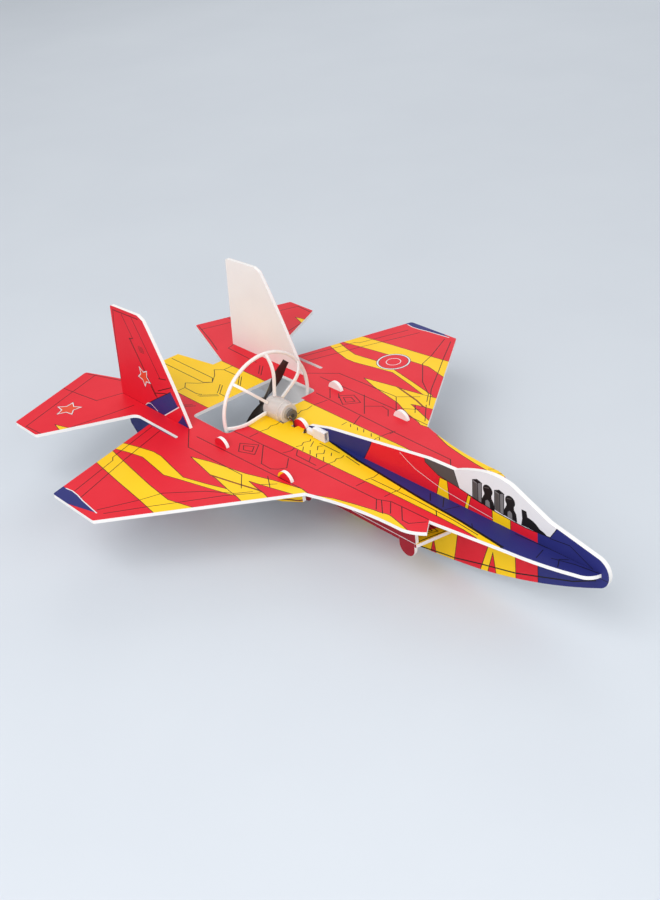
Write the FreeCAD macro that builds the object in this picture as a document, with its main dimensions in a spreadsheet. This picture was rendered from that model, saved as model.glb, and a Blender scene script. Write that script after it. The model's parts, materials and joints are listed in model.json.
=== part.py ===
"""Hand-launched foam jet with a ring-guarded pusher propeller, as an assembly of named pieces.

Seven die-cut foam sheets slot into each other; a moulded guard carries the motor and propeller.
Working frame inside every piece: +X to the nose, +Y to port, +Z up, X zero in the plane of the
guard ring, Z zero on the top face of the main plate. Each piece's Placement then moves it so that
the assembly's origin lies under the middle of its box, on the surface that the keel rests on.
"""
import FreeCAD, Part
import math
import os
import Sketcher

Vector = FreeCAD.Vector
Rotation = FreeCAD.Rotation

# ---------------------------------------------------------------- driving dimensions, millimetres
DIMENSIONS = [
    # foam sheet and how it slots together; a cut runs past an edge by cut_past
    ("sheet_thick", 2.5), ("keel_thick", 3.0), ("slot_gap", 0.2), ("corner_round", 2.0),
    ("cut_past", 1.0), ("tab_width", 13.5), ("tab_rise", 0.5), ("tab_round", 7.0),
    # main plate, half outline: X station and half width
    ("nose_reach", 300.5), ("nose_round", 11.0), ("nose_back", 9.5), ("nose_half", 10.3),
    ("neck_back", 55.5), ("neck_half", 18.8), ("neck_round", 229.0),
    ("notch_back", 111.5), ("notch_half", 26.0),
    ("strake_back", 103.5), ("strake_half", 36.0), ("strake_round", 29.0),
    ("bend_back", 118.5), ("bend_half", 43.0), ("strake_hollow", 256.0),
    ("root_front", 106.0), ("root_half", 55.0),
    ("wing_half_span", 165.0), ("tip_front", 27.0), ("tip_rear", -22.0), ("wing_rear", -50.0),
    ("slit_half", 67.0), ("slit_width", 3.0), ("slit_front", -19.5),
    ("tail_root", -70.7), ("tail_fillet", 8.0),
    ("tail_half_span", 131.0), ("tail_tip_front", -103.0), ("tail_tip_chord", 29.0),
    ("tail_reach", 160.0), ("tail_rear_half", 53.0),
    ("tongue_root", -90.0), ("tongue_gap_half", 27.0), ("tongue_root_half", 18.5),
    ("tongue_end", -127.5), ("tongue_half", 12.0),
    # propeller slot in the plate
    ("prop_slot_rear", -36.0), ("prop_slot_front", 6.0), ("prop_slot_half", 41.0),
    ("prop_slot_round", 4.0),
    # keel plate, X station and height
    ("keel_depth", 52.0), ("keel_rear", 31.0), ("keel_heel", 26.0),
    ("foot_rear", 70.0), ("foot_front", 114.0),
    ("dorsal_rear", 45.5), ("dorsal_step", 3.0), ("dorsal_step_top", 4.8),
    ("dorsal_mid", 69.0), ("dorsal_mid_top", 9.8), ("dorsal_crest_back", 135.5),
    ("dorsal_crest_top", 23.0), ("canopy_rear_back", 112.5), ("canopy_rear_top", 23.8),
    ("canopy_rise_back", 86.5), ("canopy_rise_top", 32.3), ("canopy_rise_round", 117.0),
    ("canopy_top_back", 66.5), ("canopy_top_top", 31.3), ("canopy_top_round", 50.0),
    ("screen_back", 37.7), ("screen_top", 17.8),
    ("keel_nose_back", 1.5), ("keel_nose_top", 9.2), ("keel_nose_chin", 10.6),
    ("keel_nose_round", 10.5),
    ("chin_back", 94.5), ("chin_drop", 41.3), ("chin_round", 412.0), ("belly_round", 893.0),
    # side plates: fin above the main plate, skirt below it
    ("side_half", 52.25), ("fin_rear", -107.0), ("fin_front", -21.5), ("fin_tall", 75.0),
    ("fin_top_rear", -101.0), ("fin_top_front", -66.0), ("fin_shoulder", -60.0),
    ("fin_shoulder_drop", 2.5), ("fin_round", 648.0), ("fin_tip_drop", 1.5),
    ("skirt_front", 101.0), ("skirt_chin", 10.0), ("skirt_cheek", 78.0),
    ("skirt_cheek_drop", 19.0), ("skirt_knee", 30.0), ("skirt_drop", 31.0),
    ("skirt_heel", -96.0), ("skirt_rear", -103.0), ("skirt_rear_drop", 24.0),
    ("tab_rear_start", 8.0), ("tab_front_start", 77.0),
    # belly plate and the two intake walls that stand on it
    ("belly_level", 22.5), ("belly_front_back", 118.0), ("belly_rake", 5.2),
    ("belly_flare", 61.0), ("belly_flare_end", 49.0), ("belly_rear", 12.0),
    ("wall_half", 26.25), ("wall_front_back", 123.5), ("wall_length", 119.0),
    ("wall_tab_inset", 1.5), ("wall_rear_tab_inset", 5.0),
    ("wall_tab_rise", 2.5), ("wall_tab_round", 6.75),
    # guard moulding, motor and propeller, measured along and around the motor axis
    ("axis_level", 5.2), ("ring_outer", 39.0), ("ring_deep", 2.4), ("ring_wide", 2.6),
    ("ring_bevel", 0.7), ("spoke_count", 7.0), ("spoke_wide", 2.0), ("spoke_thick", 1.5),
    ("spoke_stand", 9.3), ("spoke_bend", 18.8), ("spoke_turn", -6.0),
    ("pod_outer", 8.0), ("pod_rear", 5.5), ("pod_length", 19.5), ("pod_wall", 1.2),
    ("collar_outer", 7.2), ("collar_length", 4.0), ("sleeve_wall", 1.2), ("motor_gap", 0.05),
    ("floor_rear", 7.5), ("floor_thick", 1.5), ("floor_hole", 1.8), ("core_length", 13.5),
    ("pod_chamfer", 0.4),
    ("motor_outer", 4.25), ("motor_length", 18.0), ("motor_cap_outer", 4.1),
    ("motor_cap_length", 2.0), ("bearing_outer", 1.5), ("bearing_length", 0.6),
    ("shaft_outer", 0.5), ("shaft_gap", 0.05), ("shaft_reach", 5.0), ("shaft_inside", 6.0),
    ("prop_plane", -2.5), ("prop_radius", 33.0), ("prop_pitch", 28.0), ("prop_turn", -43.0),
    ("hub_outer", 2.75), ("hub_front", 4.2), ("hub_rear", 3.6), ("hub_round", 1.2),
    ("hub_bore_gap", 0.01), ("hub_wall", 1.2), ("bore_play", 0.3),
    ("blade_root_reach", 1.6), ("blade_root_chord", 4.4), ("blade_root_thick", 1.8),
    ("blade_inner_reach", 6.5), ("blade_inner_chord", 7.6), ("blade_inner_thick", 1.5),
    ("blade_broad_reach", 14.5), ("blade_broad_chord", 11.4), ("blade_broad_thick", 1.2),
    ("blade_outer_reach", 25.0), ("blade_outer_chord", 10.2), ("blade_outer_thick", 0.9),
    ("blade_tip_chord", 7.4), ("blade_tip_thick", 0.7), ("blade_tip_sweep", 1.0),
    ("blade_camber", 0.3), ("pitch_floor", 5.0),
    # charging socket beside the dorsal, leads, and the battery pack under the plate
    ("socket_rear", 57.0), ("socket_length", 12.0), ("socket_wide", 4.0), ("socket_tall", 7.6),
    ("socket_wall", 0.8), ("socket_floor", 2.0), ("socket_round", 0.5),
    ("boot_length", 7.0), ("boot_wide", 3.4), ("boot_tall", 4.8), ("boot_round", 1.4),
    ("pin_outer", 0.35), ("pin_length", 8.0), ("pin_pitch", 2.0),
    ("lead_outer", 0.45), ("lead_pair_pitch", 1.4),
    ("lead_red_x", 32.6), ("lead_red_y", -2.65), ("lead_red_rise", 3.2),
    ("lead_black_x", 34.0), ("lead_black_y", -3.65),
    ("lead_hole_x", 46.4), ("lead_hole_y", -4.0), ("lead_hole_long", 2.2), ("lead_hole_wide", 3.2),
    ("lead_notch_rear", 31.8), ("lead_notch_front", 35.8), ("lead_notch_out", 4.8),
    ("cell_rear", 50.0), ("cell_length", 28.0), ("cell_wide", 16.0), ("cell_thick", 6.0),
    ("cell_inner", 4.0), ("cell_round", 1.5), ("tape_thick", 1.0), ("tape_inset", 2.0),
    ("board_length", 6.0), ("board_wide", 13.0), ("board_thick", 1.0), ("board_inner", 2.1),
    ("board_drop", 1.5),
]


class Size:
    """A length that carries its number and the spreadsheet formula that gives it."""

    def __init__(self, value, formula):
        self.value = float(value)
        self.formula = formula

    @staticmethod
    def of(other):
        return other if isinstance(other, Size) else Size(other, repr(float(other)))

    def __add__(self, other):
        other = Size.of(other)
        return Size(self.value + other.value, f"({self.formula} + {other.formula})")

    def __sub__(self, other):
        other = Size.of(other)
        return Size(self.value - other.value, f"({self.formula} - {other.formula})")

    def __mul__(self, other):
        other = Size.of(other)
        return Size(self.value * other.value, f"({self.formula} * {other.formula})")

    def __truediv__(self, other):
        other = Size.of(other)
        return Size(self.value / other.value, f"({self.formula} / {other.formula})")

    def __neg__(self):
        return Size(-self.value, f"(0 - {self.formula})")

    def __radd__(self, other):
        return Size.of(other) + self

    def __rtruediv__(self, other):
        return Size.of(other) / self

    def __rsub__(self, other):
        return Size.of(other) - self


class Sheet:
    """The document's spreadsheet: writes each dimension to an aliased cell and hands it back."""

    def __init__(self, doc, rows):
        self.cells = doc.addObject("Spreadsheet::Sheet", "Dims")
        for row, (alias, value) in enumerate(rows, start=1):
            self.cells.set(f"A{row}", alias)
            self.cells.set(f"B{row}", str(value))
            self.cells.setAlias(f"B{row}", alias)
        doc.recompute()
        for alias, _ in rows:
            setattr(self, alias, Size(self.cells.get(alias), f"Dims.{alias}"))


doc = FreeCAD.newDocument("FoamJet")
d = Sheet(doc, DIMENSIONS)


# ---------------------------------------------------------------- shared derived sizes
half_sheet = d.sheet_thick / 2
slot_half = half_sheet + d.slot_gap
half_keel = d.keel_thick / 2
keel_slot_half = half_keel + d.slot_gap
keel_nose_x = d.nose_reach - d.keel_nose_back
plate_under = -d.sheet_thick
belly_under = -(d.belly_level + d.sheet_thick)


def half_chord(radius, height):
    """Half the width of a circle where a level line crosses it."""
    value = math.sqrt(radius.value ** 2 - height.value ** 2)
    return Size(value, f"sqrt({radius.formula} ^ 2 - {height.formula} ^ 2)")


def sine(angle):
    return Size(math.sin(math.radians(angle.value)), f"sin({angle.formula} * 1 deg)")


def cosine(angle):
    return Size(math.cos(math.radians(angle.value)), f"cos({angle.formula} * 1 deg)")


def tangent(angle):
    return Size(math.tan(math.radians(angle.value)), f"tan({angle.formula} * 1 deg)")


def long_side(first, second):
    """The long side of a right triangle."""
    value = math.hypot(first.value, second.value)
    return Size(value, f"sqrt({first.formula} ^ 2 + {second.formula} ^ 2)")


nose_bulge = d.keel_nose_round - half_chord(
    d.keel_nose_round, (d.keel_nose_top + d.keel_nose_chin) / 2
)
nose_tip = keel_nose_x + nose_bulge
frame_x = (d.tail_reach - nose_tip) / 2
motor_rear = d.floor_rear + d.floor_thick
motor_front = motor_rear + d.motor_length


# ---------------------------------------------------------------- document helpers
def bind(item, prop, size):
    """Ties a property to the spreadsheet."""
    item.setExpression(prop, size.formula)


def place(item, y=Size(0, "0"), level=Size(0, "0"), x=Size(0, "0"), turn=None):
    """Puts a piece in the assembly's frame, with its own offset from the working frame."""
    if turn is not None:
        item.Placement.Rotation = Rotation(Vector(1, 0, 0), turn.value)
    bind(item, "Placement.Base.x", frame_x + x)
    bind(item, "Placement.Base.y", y)
    bind(item, "Placement.Base.z", d.keel_depth + level)


def new_body(name):
    body = doc.addObject("PartDesign::Body", name)
    body.Label = name
    return body


def origin_plane(body, role):
    return next(item for item in body.Origin.OriginFeatures if item.Role == role)


def new_sketch(body, name, plane, offset=None):
    sketch = body.newObject("Sketcher::SketchObject", name)
    sketch.AttachmentSupport = (origin_plane(body, plane), [""])
    sketch.MapMode = "FlatFace"
    if offset is not None:
        sketch.AttachmentOffset = offset
    return sketch


def arc_between(start, end, radius):
    """The arc of up to half a turn from start to end; a positive radius turns to the left."""
    chord = end - start
    left = Vector(-chord.y, chord.x, 0).normalize()
    reach = math.sqrt(max(radius ** 2 - chord.Length ** 2 / 4, 0.0))
    centre = (start + end) * 0.5 + left * math.copysign(reach, radius)
    first, last = (start, end) if radius > 0 else (end, start)
    angles = [math.atan2(spot.y - centre.y, spot.x - centre.x) for spot in (first, last)]
    circle = Part.Circle(centre, Vector(0, 0, 1), abs(radius))
    return Part.ArcOfCircle(circle, *angles)


def hold_arc(sketch, number, before, after):
    """Fixes an arc by its radius, or a half circle by its centre, level with its two ends."""
    chord = math.hypot(after[0].value - before[0].value, after[1].value - before[1].value)
    if abs(abs(after[2].value) - chord / 2) > 1e-6:
        size = after[2] if after[2].value > 0 else -after[2]
        index = sketch.addConstraint(Sketcher.Constraint("Radius", number, size.value))
    else:
        upright = abs(after[0].value - before[0].value) < 1e-6
        size = after[0] if upright else after[1]
        kind = "DistanceX" if upright else "DistanceY"
        index = sketch.addConstraint(Sketcher.Constraint(kind, -1, 1, number, 3, size.value))
    sketch.setExpression(f"Constraints[{index}]", size.formula)


def turns_right(point):
    """Whether an arc that turns right leads to a point; a sketch stores such an arc reversed."""
    return len(point) == 3 and point[2].value < 0


def outline(sketch, points):
    """A closed outline. A point is (x, y), or (x, y, radius) where an arc leads to it."""
    spots = [Vector(p[0].value, p[1].value, 0) for p in points]
    count = len(points)
    for i in range(count):
        start, end = spots[i - 1], spots[i]
        if len(points[i]) == 3:
            sketch.addGeometry(arc_between(start, end, points[i][2].value), False)
        else:
            sketch.addGeometry(Part.LineSegment(start, end), False)
    for i in range(count):
        following = (i + 1) % count
        end_vertex = 1 if turns_right(points[i]) else 2
        start_vertex = 2 if turns_right(points[following]) else 1
        sketch.addConstraint(
            Sketcher.Constraint("Coincident", i, end_vertex, following, start_vertex)
        )
        for kind, size in (("DistanceX", points[i][0]), ("DistanceY", points[i][1])):
            index = sketch.addConstraint(
                Sketcher.Constraint(kind, -1, 1, i, end_vertex, size.value)
            )
            sketch.setExpression(f"Constraints[{index}]", size.formula)
        if len(points[i]) == 3:
            hold_arc(sketch, i, points[i - 1], points[i])


def box_points(x_low, x_high, y_low, y_high):
    return [(x_low, y_low), (x_high, y_low), (x_high, y_high), (x_low, y_high)]


def pad(body, sketch, name, length, middle=False, reverse=False):
    feature = body.newObject("PartDesign::Pad", name)
    feature.Profile = sketch
    feature.Midplane = middle
    feature.Reversed = reverse
    bind(feature, "Length", length)
    doc.recompute()
    return feature


def cut_through(body, sketch, name):
    """Cuts a sketch's outline right through the body, both ways, and checks that it bit."""
    before = body.Shape.Volume
    feature = body.newObject("PartDesign::Pocket", name)
    feature.Profile = sketch
    feature.Type = "ThroughAll"
    feature.Midplane = True
    doc.recompute()
    if body.Shape.Volume >= before - 1e-6:
        raise RuntimeError(f"{body.Label}: {name} cuts nothing")
    return feature


def mirror_side(body, features):
    """Repeats one side's features on the other side of the XZ plane."""
    feature = body.newObject("PartDesign::Mirrored", "OtherSide")
    feature.Originals = features
    feature.MirrorPlane = (origin_plane(body, "XZ_Plane"), [""])
    body.Tip = feature
    doc.recompute()
    return feature


def round_corners(body, name, spots, axis, radius):
    """Fillets the sheet's edges that run along axis through the given (x, y or z) spots."""
    base = body.Tip
    across = {"z": ("x", "y"), "y": ("x", "z")}[axis]
    edges = []
    for number, edge in enumerate(base.Shape.Edges, start=1):
        if edge.Curve.TypeId != "Part::GeomLine":
            continue
        if abs(getattr(edge.tangentAt(edge.FirstParameter), axis)) < 0.999:
            continue
        middle = edge.CenterOfMass
        for first, second in spots:
            gap = math.hypot(
                getattr(middle, across[0]) - first.value, getattr(middle, across[1]) - second.value
            )
            if gap < 0.01:
                edges.append(f"Edge{number}")
    if len(edges) != len(spots):
        raise RuntimeError(f"{body.Label}: {name} found {len(edges)} of {len(spots)} corners")
    feature = body.newObject("PartDesign::Fillet", name)
    feature.Base = (base, edges)
    bind(feature, "Radius", radius)
    doc.recompute()
    return feature


# ---------------------------------------------------------------- main plate
def spoke_nick(body, name, angle, side):
    """Nick ahead of the propeller slot where a guard spoke, below the level, crosses the plate."""
    reach = d.spoke_wide / 2 + d.slot_gap
    across = reach * cosine(angle)
    inner = (across - d.axis_level) / tangent(angle) + reach * sine(angle)
    outer = -(d.axis_level + d.sheet_thick + across) / tangent(angle) - reach * sine(angle)
    front = d.spoke_stand + d.spoke_thick / 2 + d.slot_gap
    sketch = new_sketch(body, name + "Outline", "XY_Plane")
    low, high = (inner, outer) if side > 0 else (-outer, -inner)
    outline(sketch, box_points(d.prop_slot_front - d.cut_past, front, low, high))
    cut_through(body, sketch, name)


def main_plate():
    """One sheet: nose, strakes, wings, tail boom and tailplanes, with its slots."""
    body = new_body("main_plate")
    slit_out = d.slit_half + d.slit_width / 2
    slit_in = d.slit_half - d.slit_width / 2
    zero = Size(0, "0")
    tip_front = (d.tip_front, d.wing_half_span)
    tip_rear = (d.tip_rear, d.wing_half_span)
    tail_tip_front = (d.tail_tip_front, d.tail_half_span)
    tail_tip_rear = (d.tail_tip_front - d.tail_tip_chord, d.tail_half_span)
    tail_heel = (-d.tail_reach, d.tail_rear_half)
    tail_root = (d.tail_root, slit_in)
    half = [
        (d.nose_reach, zero),
        (d.nose_reach - d.nose_back, d.nose_half, d.nose_round),
        (d.nose_reach - d.neck_back, d.neck_half, d.neck_round),
        (d.nose_reach - d.notch_back, d.notch_half),
        (d.nose_reach - d.strake_back, d.strake_half),
        (d.nose_reach - d.bend_back, d.bend_half, d.strake_round),
        (d.root_front, d.root_half, -d.strake_hollow),
        tip_front,
        tip_rear,
        (d.wing_rear, slit_out),
        (d.slit_front, slit_out),
        (d.slit_front, slit_in, -d.slit_width / 2),
        tail_root,
        tail_tip_front,
        tail_tip_rear,
        tail_heel,
        (d.tongue_root, d.tongue_gap_half),
        (d.tongue_root, d.tongue_root_half),
        (d.tongue_end, d.tongue_half),
        (d.tongue_end, zero),
    ]
    sketch = new_sketch(body, "HalfOutline", "XY_Plane")
    outline(sketch, half)
    sheet = pad(body, sketch, "HalfSheet", d.sheet_thick, reverse=True)

    slots = []
    side_low = d.side_half - slot_half
    side_high = d.side_half + slot_half
    side_slots = (
        ("FinSlot", d.fin_rear - d.slot_gap, d.fin_front + d.slot_gap),
        ("RearTabSlot", d.tab_rear_start - d.slot_gap, d.tab_rear_start + d.tab_width + d.slot_gap),
        ("FrontTabSlot", d.tab_front_start - d.slot_gap,
         d.tab_front_start + d.tab_width + d.slot_gap),
    )
    for name, low, high in side_slots:
        sketch = new_sketch(body, name + "Outline", "XY_Plane")
        outline(sketch, box_points(low, high, side_low, side_high))
        slots.append(cut_through(body, sketch, name))
    mirror_side(body, [sheet] + slots)

    prop = box_points(d.prop_slot_rear, d.prop_slot_front, -d.prop_slot_half, d.prop_slot_half)
    sketch = new_sketch(body, "PropSlotOutline", "XY_Plane")
    outline(sketch, prop)
    cut_through(body, sketch, "PropSlot")

    spoke_nick(body, "PortSpokeNick", d.spoke_turn + 90 - 720 / d.spoke_count, 1)
    spoke_nick(body, "StarboardSpokeNick", 90 - d.spoke_turn - 1080 / d.spoke_count, -1)

    notch = half_chord(d.pod_outer, d.axis_level) + d.slot_gap
    pod_front = d.pod_rear + d.pod_length
    sketch = new_sketch(body, "PodNotchOutline", "XY_Plane")
    outline(sketch, box_points(d.prop_slot_front - d.cut_past, pod_front + d.slot_gap,
                               -notch, notch))
    cut_through(body, sketch, "PodNotch")

    sketch = new_sketch(body, "KeelTabSlotOutline", "XY_Plane")
    outline(sketch, box_points(d.keel_rear - d.slot_gap,
                               d.keel_rear + d.tab_width + d.slot_gap,
                               -keel_slot_half, keel_slot_half))
    cut_through(body, sketch, "KeelTabSlot")

    sketch = new_sketch(body, "LeadNotchOutline", "XY_Plane")
    outline(sketch, box_points(d.lead_notch_rear, d.lead_notch_front, -d.lead_notch_out,
                               -half_keel))
    cut_through(body, sketch, "LeadNotch")

    sketch = new_sketch(body, "LeadHoleOutline", "XY_Plane")
    outline(sketch, box_points(d.lead_hole_x - d.lead_hole_long / 2,
                               d.lead_hole_x + d.lead_hole_long / 2,
                               d.lead_hole_y - d.lead_hole_wide / 2,
                               d.lead_hole_y + d.lead_hole_wide / 2))
    cut_through(body, sketch, "LeadHole")

    tips = [tip_front, tip_rear, tail_tip_front, tail_tip_rear, tail_heel]
    round_corners(body, "TipRounds", tips + [(x, -y) for x, y in tips], "z", d.corner_round)
    round_corners(body, "PropSlotRounds", prop, "z", d.prop_slot_round)
    root = [tail_root]
    round_corners(body, "TailFillets", root + [(x, -y) for x, y in root], "z", d.tail_fillet)
    place(body)
    return body


# ---------------------------------------------------------------- keel plate
def keel_plate():
    """Upright centre sheet: dorsal and canopy above the plate, keel and hand grip below it."""
    body = new_body("keel_plate")
    tab_end = d.keel_rear + d.tab_width
    slit_end = d.nose_reach + d.slot_gap
    slit_low = plate_under - d.slot_gap / 2
    slit_high = d.slot_gap / 2
    points = [
        (d.dorsal_rear, slit_high),
        (d.dorsal_rear + d.dorsal_step, d.dorsal_step_top),
        (d.dorsal_mid, d.dorsal_mid_top),
        (d.nose_reach - d.dorsal_crest_back, d.dorsal_crest_top),
        (d.nose_reach - d.canopy_rear_back, d.canopy_rear_top),
        (d.nose_reach - d.canopy_rise_back, d.canopy_rise_top, -d.canopy_rise_round),
        (d.nose_reach - d.canopy_top_back, d.canopy_top_top, -d.canopy_top_round),
        (d.nose_reach - d.screen_back, d.screen_top),
        (keel_nose_x, d.keel_nose_top),
        (keel_nose_x, -d.keel_nose_chin, -d.keel_nose_round),
        (d.nose_reach - d.chin_back, -d.chin_drop, -d.chin_round),
        (d.foot_front, -d.keel_depth, -d.belly_round),
        (d.foot_rear, -d.keel_depth),
        (d.keel_rear, -d.keel_heel),
        (d.keel_rear, d.tab_rise),
        (tab_end, d.tab_rise, -d.tab_round),
        (tab_end, slit_low),
        (slit_end, slit_low),
        (slit_end, slit_high),
    ]
    sketch = new_sketch(body, "KeelOutline", "XZ_Plane")
    outline(sketch, points)
    pad(body, sketch, "KeelSheet", d.keel_thick, middle=True)
    place(body)
    return body


# ---------------------------------------------------------------- side plates
def side_plate(name, side):
    """Upright side sheet: fin above the main plate, two locking tabs, skirt below it."""
    body = new_body(name)
    points = [
        (d.fin_rear, Size(0, "0")),
        (d.fin_top_rear, d.fin_tall - d.fin_tip_drop),
        (d.fin_top_front, d.fin_tall),
        (d.fin_shoulder, d.fin_tall - d.fin_shoulder_drop),
        (d.fin_front, Size(0, "0"), -d.fin_round),
        (d.fin_front, plate_under),
    ]
    for start in (d.tab_rear_start, d.tab_front_start):
        points += [
            (start, plate_under),
            (start, d.tab_rise),
            (start + d.tab_width, d.tab_rise, -d.tab_round),
            (start + d.tab_width, plate_under),
        ]
    points += [
        (d.skirt_front, plate_under),
        (d.skirt_front, -d.skirt_chin),
        (d.skirt_cheek, -d.skirt_cheek_drop),
        (d.skirt_knee, -d.skirt_drop),
        (d.skirt_heel, -d.skirt_drop),
        (d.skirt_rear, -d.skirt_rear_drop),
    ]
    sketch = new_sketch(body, "SideOutline", "XZ_Plane")
    outline(sketch, points)
    pad(body, sketch, "SideSheet", d.sheet_thick, middle=True)
    tips = [(d.fin_top_rear, d.fin_tall - d.fin_tip_drop), (d.fin_top_front, d.fin_tall)]
    round_corners(body, "FinRounds", tips, "y", d.corner_round)
    place(body, y=d.side_half * side)
    return body


# ---------------------------------------------------------------- belly plate and intake walls
def wall_tab_starts():
    """X where each of an intake wall's two tabs begins."""
    front = d.nose_reach - d.wall_front_back
    rear = front - d.wall_length
    return rear + d.wall_rear_tab_inset, front - d.wall_tab_inset - d.tab_width


def belly_plate():
    """Level sheet under the fuselage, split by the keel, that the intake walls stand on."""
    body = new_body("belly_plate")
    zero = Size(0, "0")
    front = d.nose_reach - d.belly_front_back
    inner = d.side_half - half_sheet - d.slot_gap
    wall_outer = d.wall_half + half_sheet
    half = [
        (front, zero),
        (front - d.belly_rake, wall_outer),
        (d.belly_flare, wall_outer),
        (d.belly_flare_end, inner),
        (d.belly_rear, inner),
        (d.belly_rear, zero),
    ]
    sketch = new_sketch(body, "HalfOutline", "XY_Plane")
    outline(sketch, half)
    sheet = pad(body, sketch, "HalfSheet", d.sheet_thick, reverse=True)
    slots = []
    for start in wall_tab_starts():
        sketch = new_sketch(body, "WallNotchOutline", "XY_Plane")
        outline(sketch, box_points(start - d.slot_gap, start + d.tab_width + d.slot_gap,
                                   d.wall_half - slot_half, wall_outer + d.cut_past))
        slots.append(cut_through(body, sketch, "WallNotch"))
    mirror_side(body, [sheet] + slots)
    sketch = new_sketch(body, "KeelSlotOutline", "XY_Plane")
    outline(sketch, box_points(d.keel_rear - d.slot_gap, front + d.cut_past,
                               -keel_slot_half, keel_slot_half))
    cut_through(body, sketch, "KeelSlot")
    place(body, level=-d.belly_level)
    return body


def intake_wall(name, side):
    """Upright wall between main plate and belly plate, with two tabs in the belly's edge notches."""
    body = new_body(name)
    front = d.nose_reach - d.wall_front_back
    points = [(front, plate_under), (front - d.wall_length, plate_under),
              (front - d.wall_length, -d.belly_level)]
    for start in wall_tab_starts():
        tab_end = belly_under - d.wall_tab_rise
        points += [
            (start, -d.belly_level),
            (start, tab_end),
            (start + d.tab_width, tab_end, d.wall_tab_round),
            (start + d.tab_width, -d.belly_level),
        ]
    points.append((front, -d.belly_level))
    sketch = new_sketch(body, "WallOutline", "XZ_Plane")
    outline(sketch, points)
    pad(body, sketch, "WallSheet", d.sheet_thick, middle=True)
    place(body, y=d.wall_half * side)
    return body


# ---------------------------------------------------------------- propeller guard
def revolve(body, sketch, name):
    feature = body.newObject("PartDesign::Revolution", name)
    feature.Profile = sketch
    feature.ReferenceAxis = (sketch, ["H_Axis"])
    feature.Angle = 360
    doc.recompute()
    return feature


def ring_profile():
    """The ring's section: a bar with bevelled corners."""
    half_wide = d.ring_wide / 2
    low = d.ring_outer - d.ring_deep
    high = d.ring_outer
    bevel = d.ring_bevel
    return [
        (half_wide - bevel, low), (half_wide, low + bevel),
        (half_wide, high - bevel), (half_wide - bevel, high),
        (bevel - half_wide, high), (-half_wide, high - bevel),
        (-half_wide, low + bevel), (bevel - half_wide, low),
    ]


def spoke_rib(body, root):
    """One spoke: a bowed strip seen from the side, straight off the pod and then bent aft."""
    middle = d.ring_outer - d.ring_deep / 2
    bend_start = middle - half_chord(d.spoke_bend, d.spoke_bend - d.spoke_stand)
    half_thick = d.spoke_thick / 2
    bend_x = d.spoke_stand - d.spoke_bend
    inside = d.spoke_bend - half_thick
    outside = d.spoke_bend + half_thick
    inner_end = bend_start + half_chord(inside, bend_x)
    outer_end = bend_start + half_chord(outside, bend_x)
    zero = Size(0, "0")
    sketch = new_sketch(body, "SpokeSide", "XZ_Plane")
    outline(sketch, [
        (d.spoke_stand + half_thick, root),
        (d.spoke_stand + half_thick, bend_start),
        (zero, outer_end, outside),
        (zero, inner_end),
        (d.spoke_stand - half_thick, bend_start, -inside),
        (d.spoke_stand - half_thick, root),
    ])
    strip = pad(body, sketch, "SpokeStrip", d.spoke_wide, middle=True)
    return strip


def prop_guard():
    """One moulding: motor pod, ring, and spokes that bow forward to clear the propeller."""
    body = new_body("prop_guard")
    pod_front = d.pod_rear + d.pod_length
    collar_rear = pod_front - d.collar_length
    bore = d.motor_outer + d.motor_gap
    core_low = bore + d.sleeve_wall
    core_high = d.pod_outer - d.pod_wall
    pod = [
        (d.pod_rear, core_high),
        (d.pod_rear, d.pod_outer - d.pod_chamfer),
        (d.pod_rear + d.pod_chamfer, d.pod_outer),
        (collar_rear - d.pod_chamfer, d.pod_outer),
        (collar_rear, d.collar_outer),
        (pod_front - d.pod_chamfer, d.collar_outer),
        (pod_front, d.collar_outer - d.pod_chamfer),
        (pod_front, bore),
        (motor_rear, bore),
        (motor_rear, d.floor_hole),
        (d.floor_rear, d.floor_hole),
        (d.floor_rear, core_low),
        (d.pod_rear + d.core_length, core_low),
        (d.pod_rear + d.core_length, core_high),
    ]
    sketch = new_sketch(body, "PodProfile", "XZ_Plane")
    outline(sketch, pod)
    revolve(body, sketch, "Pod")

    spoke = spoke_rib(body, core_high)
    spokes = body.newObject("PartDesign::PolarPattern", "Spokes")
    spokes.Originals = [spoke]
    spokes.Axis = (origin_plane(body, "X_Axis"), [""])
    spokes.Angle = 360
    spokes.Occurrences = int(d.spoke_count.value)
    body.Tip = spokes
    doc.recompute()

    sketch = new_sketch(body, "RingProfile", "XZ_Plane")
    outline(sketch, ring_profile())
    revolve(body, sketch, "Ring")
    place(body, level=d.axis_level, turn=d.spoke_turn)
    return body


# ---------------------------------------------------------------- motor, shaft and propeller
def turned(name, profile):
    """A turned piece on the motor axis from its (x, radius) profile."""
    body = new_body(name)
    sketch = new_sketch(body, "Profile", "XZ_Plane")
    outline(sketch, profile)
    revolve(body, sketch, "Turned")
    place(body, level=d.axis_level)
    return body


def motor_can():
    """Steel can with its rear bearing boss and the blind bore that the shaft runs in."""
    zero = Size(0, "0")
    bore = d.shaft_outer + d.shaft_gap
    bore_end = motor_rear + d.shaft_inside + d.bore_play
    boss = motor_rear - d.bearing_length
    return turned("motor_can", [
        (boss, bore), (boss, d.bearing_outer), (motor_rear, d.bearing_outer),
        (motor_rear, d.motor_outer), (motor_front, d.motor_outer), (motor_front, zero),
        (bore_end, zero), (bore_end, bore),
    ])


def motor_cap():
    """Moulded end cap that the two motor leads come out of."""
    zero = Size(0, "0")
    end = motor_front + d.motor_cap_length
    return turned("motor_cap", [
        (motor_front, zero), (motor_front, d.motor_cap_outer), (end, d.motor_cap_outer),
        (end, zero),
    ])


hub_end = d.prop_plane - d.hub_rear
shaft_end = hub_end + d.hub_wall


def motor_shaft():
    zero = Size(0, "0")
    inner_end = motor_rear + d.shaft_inside
    return turned("motor_shaft", [
        (shaft_end, zero), (shaft_end, d.shaft_outer), (inner_end, d.shaft_outer),
        (inner_end, zero),
    ])


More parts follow.
